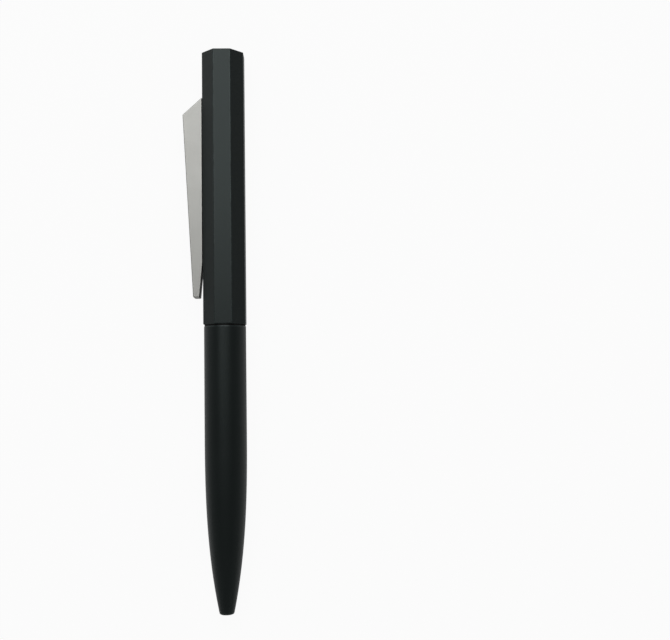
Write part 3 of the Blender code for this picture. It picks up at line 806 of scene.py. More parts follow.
BLACK = BlastedAnodise(
    Slot.BLACK, (0.0042, 0.0058, 0.0057), roughness=0.36, specular=0.3, tint=(0.86, 1.0, 0.98),
)
NICKEL = WorkedMetal(Slot.NICKEL, (0.288, 0.288, 0.275), roughness=0.45)
# The slip ring is near-black: its own dark plastic, and also painted shade for the seam between the barrels.
SLIP = MouldedPlastic(Slot.SLIP, (0.003, 0.003, 0.003), roughness=0.7, specular=0.15)
WHITE_ACETAL = MouldedPlastic(Slot.WHITE_ACETAL, (0.78, 0.77, 0.73), roughness=0.45)
GREY_ACETAL = MouldedPlastic(Slot.GREY_ACETAL, (0.20, 0.21, 0.22), roughness=0.5)
BRASS = WorkedMetal(Slot.BRASS, (0.72, 0.52, 0.22), roughness=0.3, grain=Grain.AROUND)
SPRING = WorkedMetal(Slot.SPRING, (0.55, 0.55, 0.56), roughness=0.28, grain=Grain.EVEN, line=0.05 * MM)
TUBE = WorkedMetal(Slot.TUBE, (0.58, 0.58, 0.59), roughness=0.3)
POINT = WorkedMetal(Slot.POINT, (0.66, 0.64, 0.58), roughness=0.24, grain=Grain.AROUND, line=0.04 * MM)
CARBIDE = WorkedMetal(Slot.CARBIDE, (0.30, 0.30, 0.31), roughness=0.16, grain=Grain.EVEN, line=0.02 * MM)
RUBBER = MouldedPlastic(Slot.RUBBER, (0.015, 0.015, 0.015), roughness=0.72)


def add_piece(name: str, shell: Shell, finish: Finish, body: Body, *nodes: str) -> bpy.types.Object:
    """Put a surface into the scene as a piece that rides on a body and stands for nodes of the frame.

    Args:
        name: the piece's name.
        shell: its surface.
        finish: its finish.
        body: the body that it moves with.
        nodes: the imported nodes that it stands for.

    Returns:
        The new object, at the origin.
    """
    mesh = shell.mesh(name)
    mesh.materials.append(finish.material())
    piece = bpy.data.objects.new(name, mesh)
    bpy.context.scene.collection.objects.link(piece)
    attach(piece, body.value)
    if nodes:
        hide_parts(*nodes)
    LOG.info("%s: %d faces, rides on %s", name, len(mesh.polygons), body.value)
    return piece


def dress_node(node: str, finish: Finish) -> None:
    """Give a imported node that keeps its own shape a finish.

    Args:
        node: the node's name.
        finish: its finish.
    """
    piece = frame["nodes"][node]
    piece.data.materials.clear()
    piece.data.materials.append(finish.material())
    LOG.info("%s: packed shape, %s", node, finish.slot.value)


def joint_point(name: str) -> Vector:
    """Return the point that a joint of the frame turns about."""
    return Vector(next(joint["pos_m"] for joint in frame["joints"] if joint["name"] == name))


@dataclass(frozen=True)
class UpperBarrel:
    """The eight-sided tube with its window for the clip's foot, and the plug that closes its top end."""

    axis: PenAxis
    facets: int = 8
    bore: float = 4.15 * MM
    corner: float = 0.34 * MM
    rim: float = 0.14 * MM
    mouth: float = 0.1 * MM
    window_half: float = 1.55 * MM
    window_below: float = 4.05 * MM
    window_above: float = -0.242 * MM
    plug_chamfer: float = 0.3 * MM
    plug_edge: float = 0.06 * MM
    sides: int = 128
    steps: int = 6

    def section(self, apothem: float) -> tuple[Array, Array, Array]:
        """Return the tube's outline across the axis.

        Facet k faces the angle k / facets of a turn: its points are apothem times that direction plus t
        times the direction across it, where the stops t split the window's width in three. The corner beyond
        it is an arc of the corner's radius about the corner of the polygon drawn in by that radius.

        Args:
            apothem: half the width across two flats.

        Returns:
            Points and unit normals in the plane across the axis, and 1 for points on a corner, else 0.
        """
        half_turn = math.pi / self.facets
        flat = (apothem - self.corner) * math.tan(half_turn)
        stops = np.array([flat, flat - HOLD, self.window_half, self.window_half / 3])
        stops = np.concatenate([-stops, stops[::-1]])
        facing = round_angles(self.facets)[:, None]
        out = np.stack([np.cos(facing), np.sin(facing)], axis=-1)
        across = np.stack([-np.sin(facing), np.cos(facing)], axis=-1)
        flats = apothem * out + stops[None, :, None] * across
        flat_normals = np.broadcast_to(out, flats.shape)
        swing = facing + np.linspace(0.0, 2 * half_turn, self.steps + 1)[None, 1:-1]
        corner_normals = np.stack([np.cos(swing), np.sin(swing)], axis=-1)
        middle = np.stack([np.cos(facing + half_turn), np.sin(facing + half_turn)], axis=-1)
        corners = (apothem - self.corner) / math.cos(half_turn) * middle + self.corner * corner_normals
        points = np.concatenate([flats, corners], axis=1)
        normals = np.concatenate([flat_normals, corner_normals], axis=1)
        on_flat = np.abs(stops) < flat - HOLD / 2
        edges = np.concatenate([~on_flat, np.ones(self.steps - 1, bool)])
        return points.reshape(-1, 2), normals.reshape(-1, 2), np.tile(edges, self.facets).astype(float)

    def tube(self) -> Shell:
        """Return the tube: the section carried up the axis outside, a circle carried down it inside.

        Outer row i is the section drawn in by inset i along its normals, at height i. Inner row i is the
        bore widened by inset i, at the polar angle of each section point, so rows match across the wall; on
        the clip's facet the angles are spread so that the window's sides run straight in. The cells of the
        window are left out of both, and walls join the two rims.

        Returns:
            The tube's surface.
        """
        reach = self.axis.reach("upper_barrel")
        points, normals, edges = self.section(reach.radius)
        pivot = joint_point("clip_pivot").y - self.axis.nose
        window = [pivot - self.window_below, pivot + self.window_above]
        turn = np.linspace(0.0, QUARTER, self.steps)
        inset, rise = self.rim * (1 - np.sin(turn)), self.rim * (1 - np.cos(turn))
        straight = [reach.start + 2 * self.rim, *window, reach.end - 2 * self.rim]
        heights = np.concatenate([reach.start + rise, straight, reach.end - rise[::-1]])
        insets = np.concatenate([inset, np.zeros_like(straight), inset[::-1]])
        outer = points - insets[:, None, None] * normals
        angle = np.arctan2(points[:, 1], points[:, 0])
        stops = [0.0, math.atan(self.window_half / reach.radius), TAU / self.facets, math.pi]
        spread = [0.0, math.asin(self.window_half / self.bore), TAU / self.facets, math.pi]
        inside = np.copysign(math.pi - np.interp(math.pi - np.abs(angle), stops, spread), angle)
        widened = self.bore + insets / self.rim * self.mouth
        inner = widened[:, None, None] * np.stack([np.cos(inside), np.sin(inside)], axis=-1)
        across = np.concatenate([outer, inner[::-1]])
        radius, polar = np.linalg.norm(across, axis=-1), np.arctan2(across[..., 1], across[..., 0])
        placed = self.axis.place(radius, polar, np.concatenate([heights, heights[::-1]])[:, None])
        rows, columns = placed.shape[:2]
        edge_share = np.zeros((rows, columns))
        edge_share[:len(heights)] = np.maximum((insets > 0.0)[:, None], edges)
        on_facet = points[:, 0] < HOLD - reach.radius
        beside = np.flatnonzero(on_facet & (np.abs(points[:, 1]) < self.window_half + HOLD))
        low_row, high_row = self.steps + 1, self.steps + 2  # past the rim's rows and one straight row
        keep = np.ones((rows, columns), bool)
        keep[np.ix_([low_row, rows - 1 - high_row], beside[:-1])] = False
        rim_out, rim_in = (
            np.concatenate([low * columns + beside, high * columns + beside[::-1]])
            for low, high in ((low_row, high_row), (rows - 1 - low_row, rows - 1 - high_row))
        )
        walls = np.stack([rim_out, np.roll(rim_out, -1), np.roll(rim_in, -1), rim_in], axis=-1)
        cells = grid_faces(rows, columns, wrap_rows=True)[keep]
        return Shell(placed.reshape(-1, 3), edge_share.reshape(-1), (cells, walls))

    def plug(self) -> Shell:
        """Return the end plug: a disc turned with a chamfer round its outer face.

        Returns:
            The plug's surface.
        """
        reach = self.axis.reach("end_plug")
        corners = [
            (0.0, reach.start), (reach.radius, reach.start), (reach.radius, reach.end - self.plug_chamfer),
            (reach.radius - self.plug_chamfer, reach.end), (0.0, reach.end),
        ]
        return lathe(self.axis, rounded(corners, self.plug_edge, closed=False), self.sides)

    def build(self) -> None:
        """Build the tube and the plug and dress them."""
        add_piece("upper_barrel_tube", self.tube(), BLACK, Body.UPPER, "upper_barrel")
        add_piece("end_plug_disc", self.plug(), BLACK, Body.UPPER, "end_plug")


@dataclass(frozen=True)
class LowerBarrel:
    """The round barrel drawn in to the nose, and the ring in the seam above it, dark partly as painted seam
    shade.
    """

    axis: PenAxis
    nose_radius: float = 1.745 * MM
    nose_round: float = 0.45 * MM
    nose_wear: float = 0.6
    nose_rows: int = 14
    taper_length: float = 45.0 * MM
    taper_power: float = 2.77
    taper_rows: int = 90
    rim_crown: float = 0.5 * MM
    rim_turn: float = math.radians(32.0)
    rim_rows: int = 9
    edge: float = 0.05 * MM
    point_bore: float = 1.125 * MM
    point_bore_end: float = 5.0 * MM
    tube_bore: float = 1.7 * MM
    tube_bore_end: float = 10.0 * MM
    chamber: float = 2.4 * MM
    chamber_end: float = 35.3 * MM
    ink_room: float = 3.35 * MM
    socket_start: float = 59.1 * MM
    socket: float = 4.35 * MM
    slip_bore: float = 3.45 * MM
    slip_recess: float = 0.12 * MM
    slip_play: float = 0.03 * MM
    sides: int = 192

    def radius(self, height: Spread, full: float) -> Array:
        """Return the outer radius: nose + (full - nose) (1 - (1 - height / taper length)^power)."""
        left = np.clip(1.0 - height / self.taper_length, 0.0, None)
        return self.nose_radius + (full - self.nose_radius) * (1.0 - left ** self.taper_power)

    def barrel(self) -> Shell:
        """Return the barrel: the rounded nose, the taper, the straight, the crowned rim and the bores.

        Returns:
            The barrel's surface.
        """
        reach = self.axis.reach("lower_barrel")
        full = reach.radius
        slope = math.atan((full - self.nose_radius) * self.taper_power / self.taper_length)
        first = self.nose_round * (1.0 - math.sin(slope))
        middle = self.radius(first, full) - self.nose_round * math.cos(slope)
        turn = np.linspace(-QUARTER, -slope, self.nose_rows)
        nose = profile(
            middle + self.nose_round * np.cos(turn), self.nose_round * (1.0 + np.sin(turn)), self.nose_wear,
        )
        heights = np.linspace(first, self.taper_length, self.taper_rows + 1)[1:]
        taper = profile(self.radius(heights, full), heights)
        swing = np.linspace(0.0, self.rim_turn, self.rim_rows)
        # The crown counts fully as an edge, so the black finish lightens it as wear and as a painted glint.
        crown = profile(
            full - self.rim_crown * (1.0 - np.cos(swing)),
            reach.end - self.rim_crown * (math.sin(self.rim_turn) - np.sin(swing)), 1.0,
        )
        straight = profile(full, [self.taper_length + HOLD, crown[0, 1] - HOLD])
        bores = rounded(stepped(
            [crown[-1, 0] - self.edge, self.socket, self.ink_room, self.chamber, self.tube_bore,
             self.point_bore, middle],
            [reach.end, self.socket_start, self.chamber_end, self.tube_bore_end, self.point_bore_end, 0.0],
        ), self.edge, closed=False)
        return lathe(self.axis, np.concatenate([nose, taper, straight, crown, bores[:-1]]), self.sides)

    def slip_ring(self) -> Shell:
        """Return the ring that the two barrels slide on, a hair short of both and of their outside.

        Returns:
            The ring's surface.
        """
        below, above = self.axis.reach("lower_barrel"), self.axis.reach("upper_barrel")
        radii = [self.slip_bore, below.radius - self.slip_recess, self.slip_bore]
        section = stepped(radii, [below.end + self.slip_play, above.start - self.slip_play])
        return lathe(self.axis, rounded(section, self.edge), self.sides)

    def build(self) -> None:
        """Build the barrel and the ring and dress them."""
        add_piece("lower_barrel_shell", self.barrel(), BLACK, Body.LOWER, "lower_barrel")
        add_piece("slip_ring_band", self.slip_ring(), SLIP, Body.LOWER, "slip_ring")


@dataclass(frozen=True)
class Clip:
    """The wedge-shaped clip with its core and foot, the pin that it swings on and the spring behind it."""

    axis: PenAxis
    length: float = 49.95 * MM
    half: float = 1.95 * MM
    edge: float = 0.2 * MM
    shoulder_drop: float = 4.35 * MM
    shoulder_out: float = 4.87 * MM
    toe_out: float = 2.46 * MM
    toe_in: float = 0.87 * MM
    contact_above_toe: float = 8.6 * MM
    gap: float = 0.08 * MM
    contact_gap: float = 0.1 * MM
    core_wall: float = 0.8 * MM
    core_roof: float = 1.0 * MM
    core_top: float = 8.3 * MM
    core_bottom: float = 37.8 * MM
    corner: float = 0.3 * MM
    root: float = 0.06 * MM
    contact: float = 0.9 * MM
    foot_half: float = 1.3 * MM
    foot_edge: float = 0.15 * MM
    foot_corner: float = 0.3 * MM
    foot_sink: float = 0.85 * MM
    foot_top: float = 0.8 * MM
    foot_bottom: float = 3.8 * MM
    tail_rise: float = 4.6 * MM
    tail_face: float = -1.4 * MM
    tail_back: float = 0.0
    pin_edge: float = 0.12 * MM
    wire: float = 0.3 * MM
    turns: float = 4.5
    opens: float = math.radians(6.0)

    def place(self, points: Array) -> Array:
        """Return points in the frame from (out from the facet, drop below the clip's top, depth up)."""
        origin = (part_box("upper_barrel")[0].x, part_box("clip")[0].y + self.length, self.axis.level)
        return np.array(origin) + points * (-1, -1, 1)

    def outer(self, drop: Array) -> Array:
        """Return how far the outer edge stands out: straight from the shoulder to the toe."""
        share = (drop - self.shoulder_drop) / (self.length - self.shoulder_drop)
        return self.shoulder_out + (self.toe_out - self.shoulder_out) * share

    def inner(self, drop: float) -> float:
        """Return how far the inner edge stands out above the contact: straight from the top to it."""
        share = drop / (self.length - self.contact_above_toe)
        return self.gap + (self.contact_gap - self.gap) * share

    def blade(self) -> Shell:
        """Return the blade: its outline as a plate, with the core let into the inner side.

        The cells of the core's mouth are left out of the side. Strips lead from the mouth's two long edges
        to a floor that runs parallel to the outer edge, and a polygon closes each end.

        Returns:
            The blade's surface.
        """
        corners = np.array([
            (self.gap, 0.0), (self.shoulder_out, self.shoulder_drop), (self.toe_out, self.length),
            (self.toe_in, self.length), (self.contact_gap, self.length - self.contact_above_toe),
            (self.inner(self.core_bottom), self.core_bottom), (self.inner(self.core_top), self.core_top),
        ])
        radii = np.array([self.root] + [self.corner] * 3 + [self.contact, 0.0, 0.0])
        plate = Plate(corners, radii, self.half, self.edge)
        mouth = self.half - self.core_wall
        rows = plate.rows((-mouth, mouth))
        points = self.place(plate.grid(rows))
        columns = points.shape[1]
        low_row = int(np.argmin(np.abs(rows[:, 1] + mouth)))
        out, drop = plate.outline(0.0)[:, :2].T
        on_mouth = (drop >= self.core_top - WELD) & (drop <= self.core_bottom + WELD)
        beside = np.flatnonzero(on_mouth & (out < 2 * self.gap))
        keep = np.ones((len(rows) - 1, columns), bool)
        keep[low_row, beside[:-1]] = False
        roof = self.outer(drop[beside]) - self.core_roof
        floor = np.stack(np.broadcast_arrays(roof, drop[beside], [[-mouth], [mouth]]), axis=-1)
        count = len(beside)
        floor_rows = len(rows) * columns + np.arange(2 * count).reshape(2, count)
        ladder = np.vstack([low_row * columns + beside, floor_rows, (low_row + 1) * columns + beside])
        strips = ladder.reshape(-1)[grid_faces(len(ladder), count, wrap_columns=False)]
        caps = np.stack([ladder[:, 0], ladder[::-1, -1]])
        cells, ends = grid_faces(len(rows), columns)[keep], end_polygons(len(rows), columns)
        return Shell(
            np.concatenate([points.reshape(-1, 3), self.place(floor).reshape(-1, 3)]),
            np.concatenate([np.repeat(rows[:, 2], columns), np.zeros(2 * count)]),
            (cells, ends, strips.reshape(-1, 4), caps),
        )

    def foot(self) -> Shell:
        """Return the foot: a hooked plate from inside the blade, through the window, to the tail.

        Returns:
            The foot's surface.
        """
        pivot = joint_point("clip_pivot").y
        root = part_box("upper_barrel")[0].x - self.foot_sink
        below, lowest, top = pivot - self.foot_top, pivot - self.foot_bottom, pivot + self.tail_rise
        corners = np.array([
            (root, below), (root, lowest), (self.tail_back, lowest),
            (self.tail_back, top), (self.tail_face, top), (self.tail_face, below),
        ])
        plate = Plate(corners, self.foot_corner, self.foot_half, self.foot_edge)
        rows = plate.rows()
        return Shell.of_grid(plate.grid(rows) + (0.0, 0.0, self.axis.level), rows[:, 2:], capped=True)

    def build(self) -> None:
        """Build the clip's pieces and dress them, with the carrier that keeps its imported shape."""
        add_piece("clip_blade", self.blade(), NICKEL, Body.CLIP, "clip")
        add_piece("clip_foot", self.foot(), NICKEL, Body.CLIP)
        add_piece("clip_hinge_pin", cross_pin("clip_pin", self.pin_edge), SPRING, Body.UPPER, "clip_pin")
        low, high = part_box("clip_spring")
        centre = (0.0, (low.y + high.y) / 2, (low.z + high.z) / 2)
        coil = Coil("clip_spring", Along.X, centre, self.wire, self.turns)
        spring = add_piece("clip_spring_coil", coil.shell(), SPRING, Body.UPPER, "clip_spring")
        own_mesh(spring)
        dress_node("clip_carrier", GREY_ACETAL)


@dataclass(frozen=True)
class TwistMechanism:
    """The thread that joins the barrels, the drag ring, the stack on the guide tube and the cam."""

    axis: PenAxis
    stub_bore: float = 2.9 * MM
    thread: float = 3.35 * MM
    pitch: float = 0.5 * MM
    thread_depth: float = 0.2 * MM
    thread_row: float = 0.05 * MM
    neck: float = 1.0 * MM
    journal_start: float = 70.3 * MM
    chamfer: float = 0.2 * MM
    groove_half: float = 0.45 * MM
    groove: float = 3.35 * MM
    bush_bore: float = 3.45 * MM
    edge: float = 0.05 * MM
    ring_bore: float = 2.55 * MM
    ring_mouth: float = 3.2 * MM
    washer_bore: float = 2.9 * MM
    drag_points: int = 32
    sides: int = 96

    def threaded(
        self, lead: Array, radius: float, top: float, bottom: float, depth: float, fade: float,
    ) -> Shell:
        """Turn an outline that is closed by a threaded stretch.

        On the thread the radius changes by the depth times a triangle wave, from 0 to 1, that climbs one
        pitch in a turn: 1 - |2 p - 1|, where p is what is left of height / pitch - angle / turn over whole
        turns. The depth grows from nothing over the fade below the top.

        Args:
            lead: the rest of the outline, from the thread's bottom round to its top.
            radius: the radius that the thread is cut into.
            top: the height where the thread starts.
            bottom: the height where it ends.
            depth: the thread's depth, below 0 where it is cut into a shaft.
            fade: the height over which it runs out at the top.

        Returns:
            The turned surface.
        """
        levels = np.arange(top, bottom, -self.thread_row)[1:-1]
        phase = (levels[:, None] / self.pitch - round_angles(self.sides) / TAU) % 1.0
        cut = (depth * np.clip((top - levels) / fade, 0.0, 1.0))[:, None] * (1.0 - np.abs(2.0 * phase - 1.0))
        relief = np.concatenate([np.zeros((len(lead), self.sides)), cut])
        return lathe(self.axis, np.concatenate([lead, profile(radius, levels)]), self.sides, relief)

    def stub(self) -> Shell:
        """Return the stub: a screw thread below, a grooved journal above, bored through.

        Returns:
            The stub's surface.
        """
        reach, seat = self.axis.reach("threaded_stub"), self.axis.reach("drag_ring").middle
        top, bottom = self.journal_start - self.neck, reach.start + self.chamfer
        lead = rounded(np.vstack([
            (self.thread, bottom),
            stepped(
                [self.thread - self.chamfer, self.stub_bore, reach.radius - self.chamfer],
                [reach.start, reach.end],
            ),
            (reach.radius, reach.end - self.chamfer),
            stepped(
                [reach.radius, self.groove, reach.radius, self.thread],
                [seat + self.groove_half, seat - self.groove_half, self.journal_start],
            ),
            (self.thread, top),
        ]), self.edge, closed=False)
        return self.threaded(lead, self.thread, top, bottom, -self.thread_depth, self.pitch)

    def bush(self) -> Shell:
        """Return the bush: a tube whose bore is threaded from end to end.

        Returns:
            The bush's surface.
        """
        reach = self.axis.reach("thread_bush")
        section = stepped([self.bush_bore, reach.radius, self.bush_bore], [reach.start, reach.end])
        lead = rounded(section, self.edge, closed=False)
        return self.threaded(lead, self.bush_bore, reach.end, reach.start, self.thread_depth, TINY)

    def drag_ring(self) -> Shell:
        """Return the rubber ring: a circle turned round the axis.

        Returns:
            The ring's surface.
        """
        reach = self.axis.reach("drag_ring")
        section = (reach.end - reach.start) / 2
        turn, centre = round_angles(self.drag_points), reach.radius - section
        circle = profile(centre + section * np.cos(turn), reach.middle + section * np.sin(turn))
        return lathe(self.axis, circle, self.sides)

    def ring(self, node: str, bore: float) -> Array:
        """Return the rounded section of a flat ring where a node lies."""
        reach = self.axis.reach(node)
        return rounded(stepped([bore, reach.radius, bore], [reach.start, reach.end]), self.edge)

    def washer(self) -> Shell:
        """Return the thrust washer: a flat ring turned round the axis."""
        return lathe(self.axis, self.ring("thrust_washer", self.washer_bore), self.sides)

    def retaining_ring(self) -> Shell:
        """Return the open ring: its section carried round the axis from one side of the mouth to the other.

        Returns:
            The ring's surface.
        """
        section = self.ring("retaining_ring", self.ring_bore)
        half = math.asin(self.ring_mouth / 2 / self.ring_bore)
        angle = np.linspace(half, TAU - half, self.sides)[:, None]
        points = self.axis.place(section[:, 0], angle, section[:, 1])
        return Shell.of_grid(points, section[:, 2], capped=True)

    def build(self) -> None:
        """Build the mechanism's pieces and dress them, with the two slotted tubes that keep their shape."""
        add_piece("threaded_stub_turned", self.stub(), BRASS, Body.LOWER, "threaded_stub")
        add_piece("thread_bush_turned", self.bush(), BRASS, Body.LOWER, "thread_bush")
        add_piece("drag_ring_moulded", self.drag_ring(), RUBBER, Body.LOWER, "drag_ring")
        add_piece("thrust_washer_disc", self.washer(), SPRING, Body.UPPER, "thrust_washer")
        add_piece("retaining_ring_open", self.retaining_ring(), SPRING, Body.LOWER, "retaining_ring")
        dress_node("cam_sleeve", WHITE_ACETAL)
        dress_node("guide_tube", WHITE_ACETAL)


@dataclass(frozen=True)
class Refill:
    """The ink tube, its point and ball, the return spring round it and the driver on its tail."""

    axis: PenAxis
    tube_radius: float = 1.55 * MM
    tube_bore: float = 1.15 * MM
    ear_start: float = 32.2 * MM
    ear_end: float = 34.7 * MM
    ear_span: float = 2.2 * MM
    ear_margin: float = 0.625 * MM
    ear_blur: float = 0.3125 * MM
    ear_power: float = 30.0
    ear_rows: int = 40
    edge: float = 0.06 * MM
    ball_shows: float = 0.15 * MM
    ball_play: float = 0.05 * MM
    ball_rows: int = 25
    ball_sides: int = 48
    rim_wall: float = 0.08 * MM
    cup_rows: int = 16
    point_radius: float = 0.975 * MM
    point_length: float = 11.0 * MM
    taper: float = 2.4 * MM
    taper_power: float = 1.5
    taper_rows: int = 24
    collar: float = 1.4 * MM
    collar_length: float = 1.2 * MM
    spigot: float = 1.05 * MM
    ink_bore: float = 0.5 * MM
    feed: float = 0.18 * MM
    feed_length: float = 3.0 * MM
    wire: float = 0.4 * MM
    turns: float = 13.0
    travel: float = 5.2 * MM
    pin_edge: float = 0.15 * MM
    sides: int = 96

    def tube(self) -> Shell:
        """Return the ink tube, pinched out to two ears.

        Over the ears the outer radius grows by (span - radius) times an eased step in height and out again,
        times |cos angle| to a high power, so the ears stand out on the two sides along X.

        Returns:
            The tube's surface.
        """
        reach = self.axis.reach("refill_tube")
        lead = rounded([
            (self.tube_bore, reach.start), (self.tube_radius, reach.start),
            (self.tube_radius, self.ear_start - 2 * self.ear_margin),
        ], self.edge, closed=False)
        levels = np.linspace(self.ear_start - self.ear_margin, self.ear_end + self.ear_margin, self.ear_rows)
        tail = rounded([
            (self.tube_radius, self.ear_end + 2 * self.ear_margin), (self.tube_radius, reach.end),
            (self.tube_bore, reach.end), (self.tube_bore, reach.middle),
        ], self.edge, closed=False)
        outline = np.concatenate([lead, profile(self.tube_radius, levels), tail])
        height, outside = outline[:, 1:2], outline[:, :1] > self.tube_bore + self.edge
        rise = np.clip((height - self.ear_start) / self.ear_blur, 0.0, 1.0)
        fall = np.clip((self.ear_end - height) / self.ear_blur, 0.0, 1.0)
        ears = np.abs(np.cos(round_angles(self.sides))) ** self.ear_power
        relief = (self.ear_span - self.tube_radius) * ease(rise * fall) * outside * ears
        return lathe(self.axis, outline, self.sides, relief)

    def point(self) -> Shell:
        """Return the point: rim, bullet taper, shank, collar, spigot, ink bore, feed and the ball's cup.

        The taper's radius is rim + (shank - rim) (1 - (1 - share)^power) over its length, and the cup is an
        arc about the ball's centre.

        Returns:
            The point's surface.
        """
        ball = self.axis.reach("writing_ball")
        cup, rim_height = ball.radius + self.ball_play, ball.start + self.ball_shows
        rim_angle = math.asin((self.ball_shows - ball.radius) / cup)
        rim = cup * math.cos(rim_angle) + self.rim_wall
        share = np.linspace(0.0, 1.0, self.taper_rows)
        bullet = rim + (self.point_radius - rim) * (1.0 - (1.0 - share) ** self.taper_power)
        taper = profile(bullet, rim_height + self.taper * share)
        collar_end, cup_top = ball.start + self.point_length, ball.middle + cup
        shank = rounded(np.vstack([
            (self.point_radius, rim_height + self.taper + self.edge),
            stepped([self.point_radius, self.collar, self.spigot, self.ink_bore, self.feed], [
                collar_end - self.collar_length, collar_end,
                self.axis.reach("refill_point").end, cup_top + self.feed_length,
            ]),
            (self.feed, cup_top),
        ]), self.edge, closed=False)
        turn = np.linspace(math.acos(self.feed / cup), rim_angle, self.cup_rows)
        seat = profile(cup * np.cos(turn), ball.middle + cup * np.sin(turn))
        return lathe(self.axis, np.concatenate([taper, shank, seat]), self.sides)

    def ball(self) -> Shell:
        """Return the ball: a half circle turned round the axis.

        Returns:
            The ball's surface.
        """
        reach = self.axis.reach("writing_ball")
        turn = np.linspace(-QUARTER, QUARTER, self.ball_rows)
        half_circle = profile(reach.radius * np.cos(turn), reach.middle + reach.radius * np.sin(turn))
        half_circle[[0, -1], 0] = 0.0
        return lathe(self.axis, half_circle, self.ball_sides)

    def build(self) -> None:
        """Build the refill's pieces and dress them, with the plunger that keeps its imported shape."""
        add_piece("refill_tube_drawn", self.tube(), TUBE, Body.REFILL, "refill_tube")
        add_piece("refill_point_turned", self.point(), POINT, Body.REFILL, "refill_point")
        add_piece("writing_ball_ground", self.ball(), CARBIDE, Body.BALL, "writing_ball")
        pin = cross_pin("drive_pin", self.pin_edge)
        add_piece("drive_pin_ground", pin, SPRING, Body.REFILL, "drive_pin")
        dress_node("plunger", GREY_ACETAL)
        coil = Coil("return_spring", Along.Y, (0.0, 0.0, self.axis.level), self.wire, self.turns)
        spring = add_piece("return_spring_coil", coil.shell(), SPRING, Body.LOWER, "return_spring")
        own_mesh(spring)


@dataclass(frozen=True)
class Lamp:
    """A soft rectangular lamp that faces a point on the pen."""

    name: str
    at: tuple[float, float, float]
    size: tuple[float, float]
    power: float

    def build(self, aim: Vector) -> None:
        """Hang the lamp and turn it to the aim.

        Args:
            aim: the point that it faces.
        """
        light = bpy.data.lights.new(self.name, "AREA")
        light.shape = "RECTANGLE"
        light.size, light.size_y = self.size
        light.energy = self.power
        lamp = bpy.data.objects.new(self.name, light)
        lamp.location = self.at
        lamp.rotation_euler = (aim - Vector(self.at)).to_track_quat("-Z", "Y").to_euler()
        bpy.context.scene.collection.objects.link(lamp)
        LOG.info("%s: lamp of %.2f W", self.name, self.power)


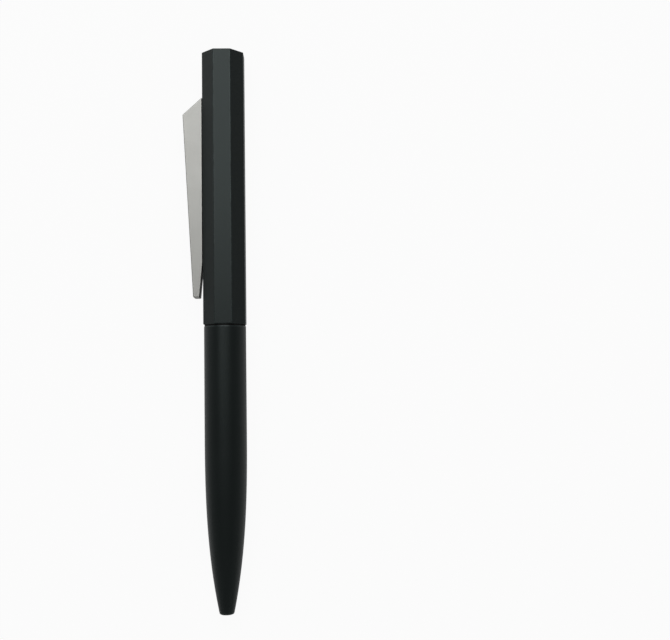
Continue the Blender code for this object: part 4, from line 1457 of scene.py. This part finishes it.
@dataclass(frozen=True)
class Studio:
    """The pale table, the soft lamps, the surround and the camera above the pen."""

    table_radius: float = 1.6
    table_below: float = 0.02 * MM
    table_sides: int = 96
    white: float = 0.6
    speckle: float = 0.4 * MM
    speckle_tone: float = 0.985
    seen: float = 0.94
    mirrored: float = 0.2
    horizon: float = 0.3
    zenith: float = 0.16
    dims_between: tuple[float, float] = (0.3, 0.8)
    aim: tuple[float, float, float] = (0.0, -0.02, 0.005)
    camera_at: tuple[float, float, float] = (20.290 * MM, -48.355 * MM, 235.902 * MM)
    camera_forward: tuple[float, float, float] = (0.029706, 0.065840, -0.997388)
    camera_roll: float = math.radians(-0.845)
    camera_near: float = 10.0 * MM
    focal_pixels: float = 933.7
    sensor: float = 36.0
    lamps: tuple[Lamp, ...] = (
        Lamp("key_softbox", (-0.04, 0.39, 0.72), (0.82, 0.68), 5.0),
        Lamp("left_fill", (-0.62, 0.27, 0.16), (0.36, 0.25), 0.32),
        Lamp("front_fill", (0.0, -0.80, 0.25), (1.2, 0.30), 1.6),
    )

    def table(self) -> None:
        """Lay a round table that camera and mirror rays see almost white, with the pen's shadow on it."""
        angle = round_angles(self.table_sides)
        rim = self.table_radius * np.stack([np.cos(angle), np.sin(angle), np.zeros_like(angle)], axis=-1)
        mesh = bpy.data.meshes.new("table")
        mesh.from_pydata((rim - (0.0, 0.0, self.table_below)).tolist(), [], [list(range(len(rim)))])
        material = bpy.data.materials.new("pale_table")
        material.use_nodes = True
        nodes = Nodes(material.node_tree)
        mirror = nodes.ray("Glossy") + nodes.ray("Transmission")
        share = (nodes.ray("Camera") * self.seen + mirror * self.mirrored).at_most(1.0)
        speckle = nodes.noise(self.speckle, SOFT)
        colour = nodes.blend(speckle, grey(self.white * self.speckle_tone), grey(self.white))
        lit = nodes.node("ShaderNodeBsdfDiffuse", {}, {"Color": colour})
        glow = nodes.node("ShaderNodeEmission", {}, {"Color": grey(1.0), "Strength": 1.0})
        surface = nodes.node("ShaderNodeMixShader", {}, {0: share, 1: lit, 2: glow})
        nodes.node("ShaderNodeOutputMaterial", {}, {"Surface": surface})
        mesh.materials.append(material)
        table = bpy.data.objects.new("table", mesh)
        bpy.context.scene.collection.objects.link(table)

    def surround(self) -> None:
        """Fill the surround: pale at the horizon, dim overhead, and to the camera as white as the table."""
        world = bpy.data.worlds.new("studio")
        bpy.context.scene.world = world
        world.use_nodes = True
        nodes = Nodes(world.node_tree)
        direction = nodes.node("ShaderNodeTexCoord", output="Generated")
        height = nodes.node("ShaderNodeSeparateXYZ", {}, {0: direction}, output="Z")
        colour = nodes.blend(height.smooth(*self.dims_between), grey(self.horizon), grey(self.zenith))
        colour = nodes.blend(nodes.ray("Camera"), colour, grey(self.seen))
        light = nodes.node("ShaderNodeBackground", {}, {"Color": colour, "Strength": 1.0})
        nodes.node("ShaderNodeOutputWorld", {}, {"Surface": light})

    def camera(self) -> None:
        """Hang the camera over the pen, with the top of the picture towards the pen's top end."""
        data = bpy.data.cameras.new("overhead")
        data.sensor_width = self.sensor
        data.lens = self.focal_pixels * self.sensor / PHOTO_WIDTH
        data.clip_start = self.camera_near
        forward = Vector(self.camera_forward).normalized()
        right = forward.cross(Vector((0.0, 1.0, 0.0))).normalized()
        up = right.cross(forward)
        axes = Matrix((right, up, -forward)).transposed() @ Matrix.Rotation(self.camera_roll, 3, "Z")
        camera = bpy.data.objects.new("overhead", data)
        camera.matrix_world = Matrix.Translation(self.camera_at) @ axes.to_4x4()
        bpy.context.scene.collection.objects.link(camera)
        bpy.context.scene.camera = camera

    def build(self) -> None:
        """Set up the table, the surround, the lamps and the camera."""
        bpy.context.scene.view_settings.view_transform = "Standard"
        self.table()
        self.surround()
        for lamp in self.lamps:
            lamp.build(Vector(self.aim))
        self.camera()


def main() -> None:
    """Build the pen's sub-assemblies in order, then the studio."""
    logging.basicConfig(level=logging.INFO, format="%(name)s %(message)s")
    axis = PenAxis.of_frame()
    for assembly in (UpperBarrel, LowerBarrel, Clip, TwistMechanism, Refill):
        assembly(axis).build()
    Studio().build()


if __name__ == "__main__":
    main()
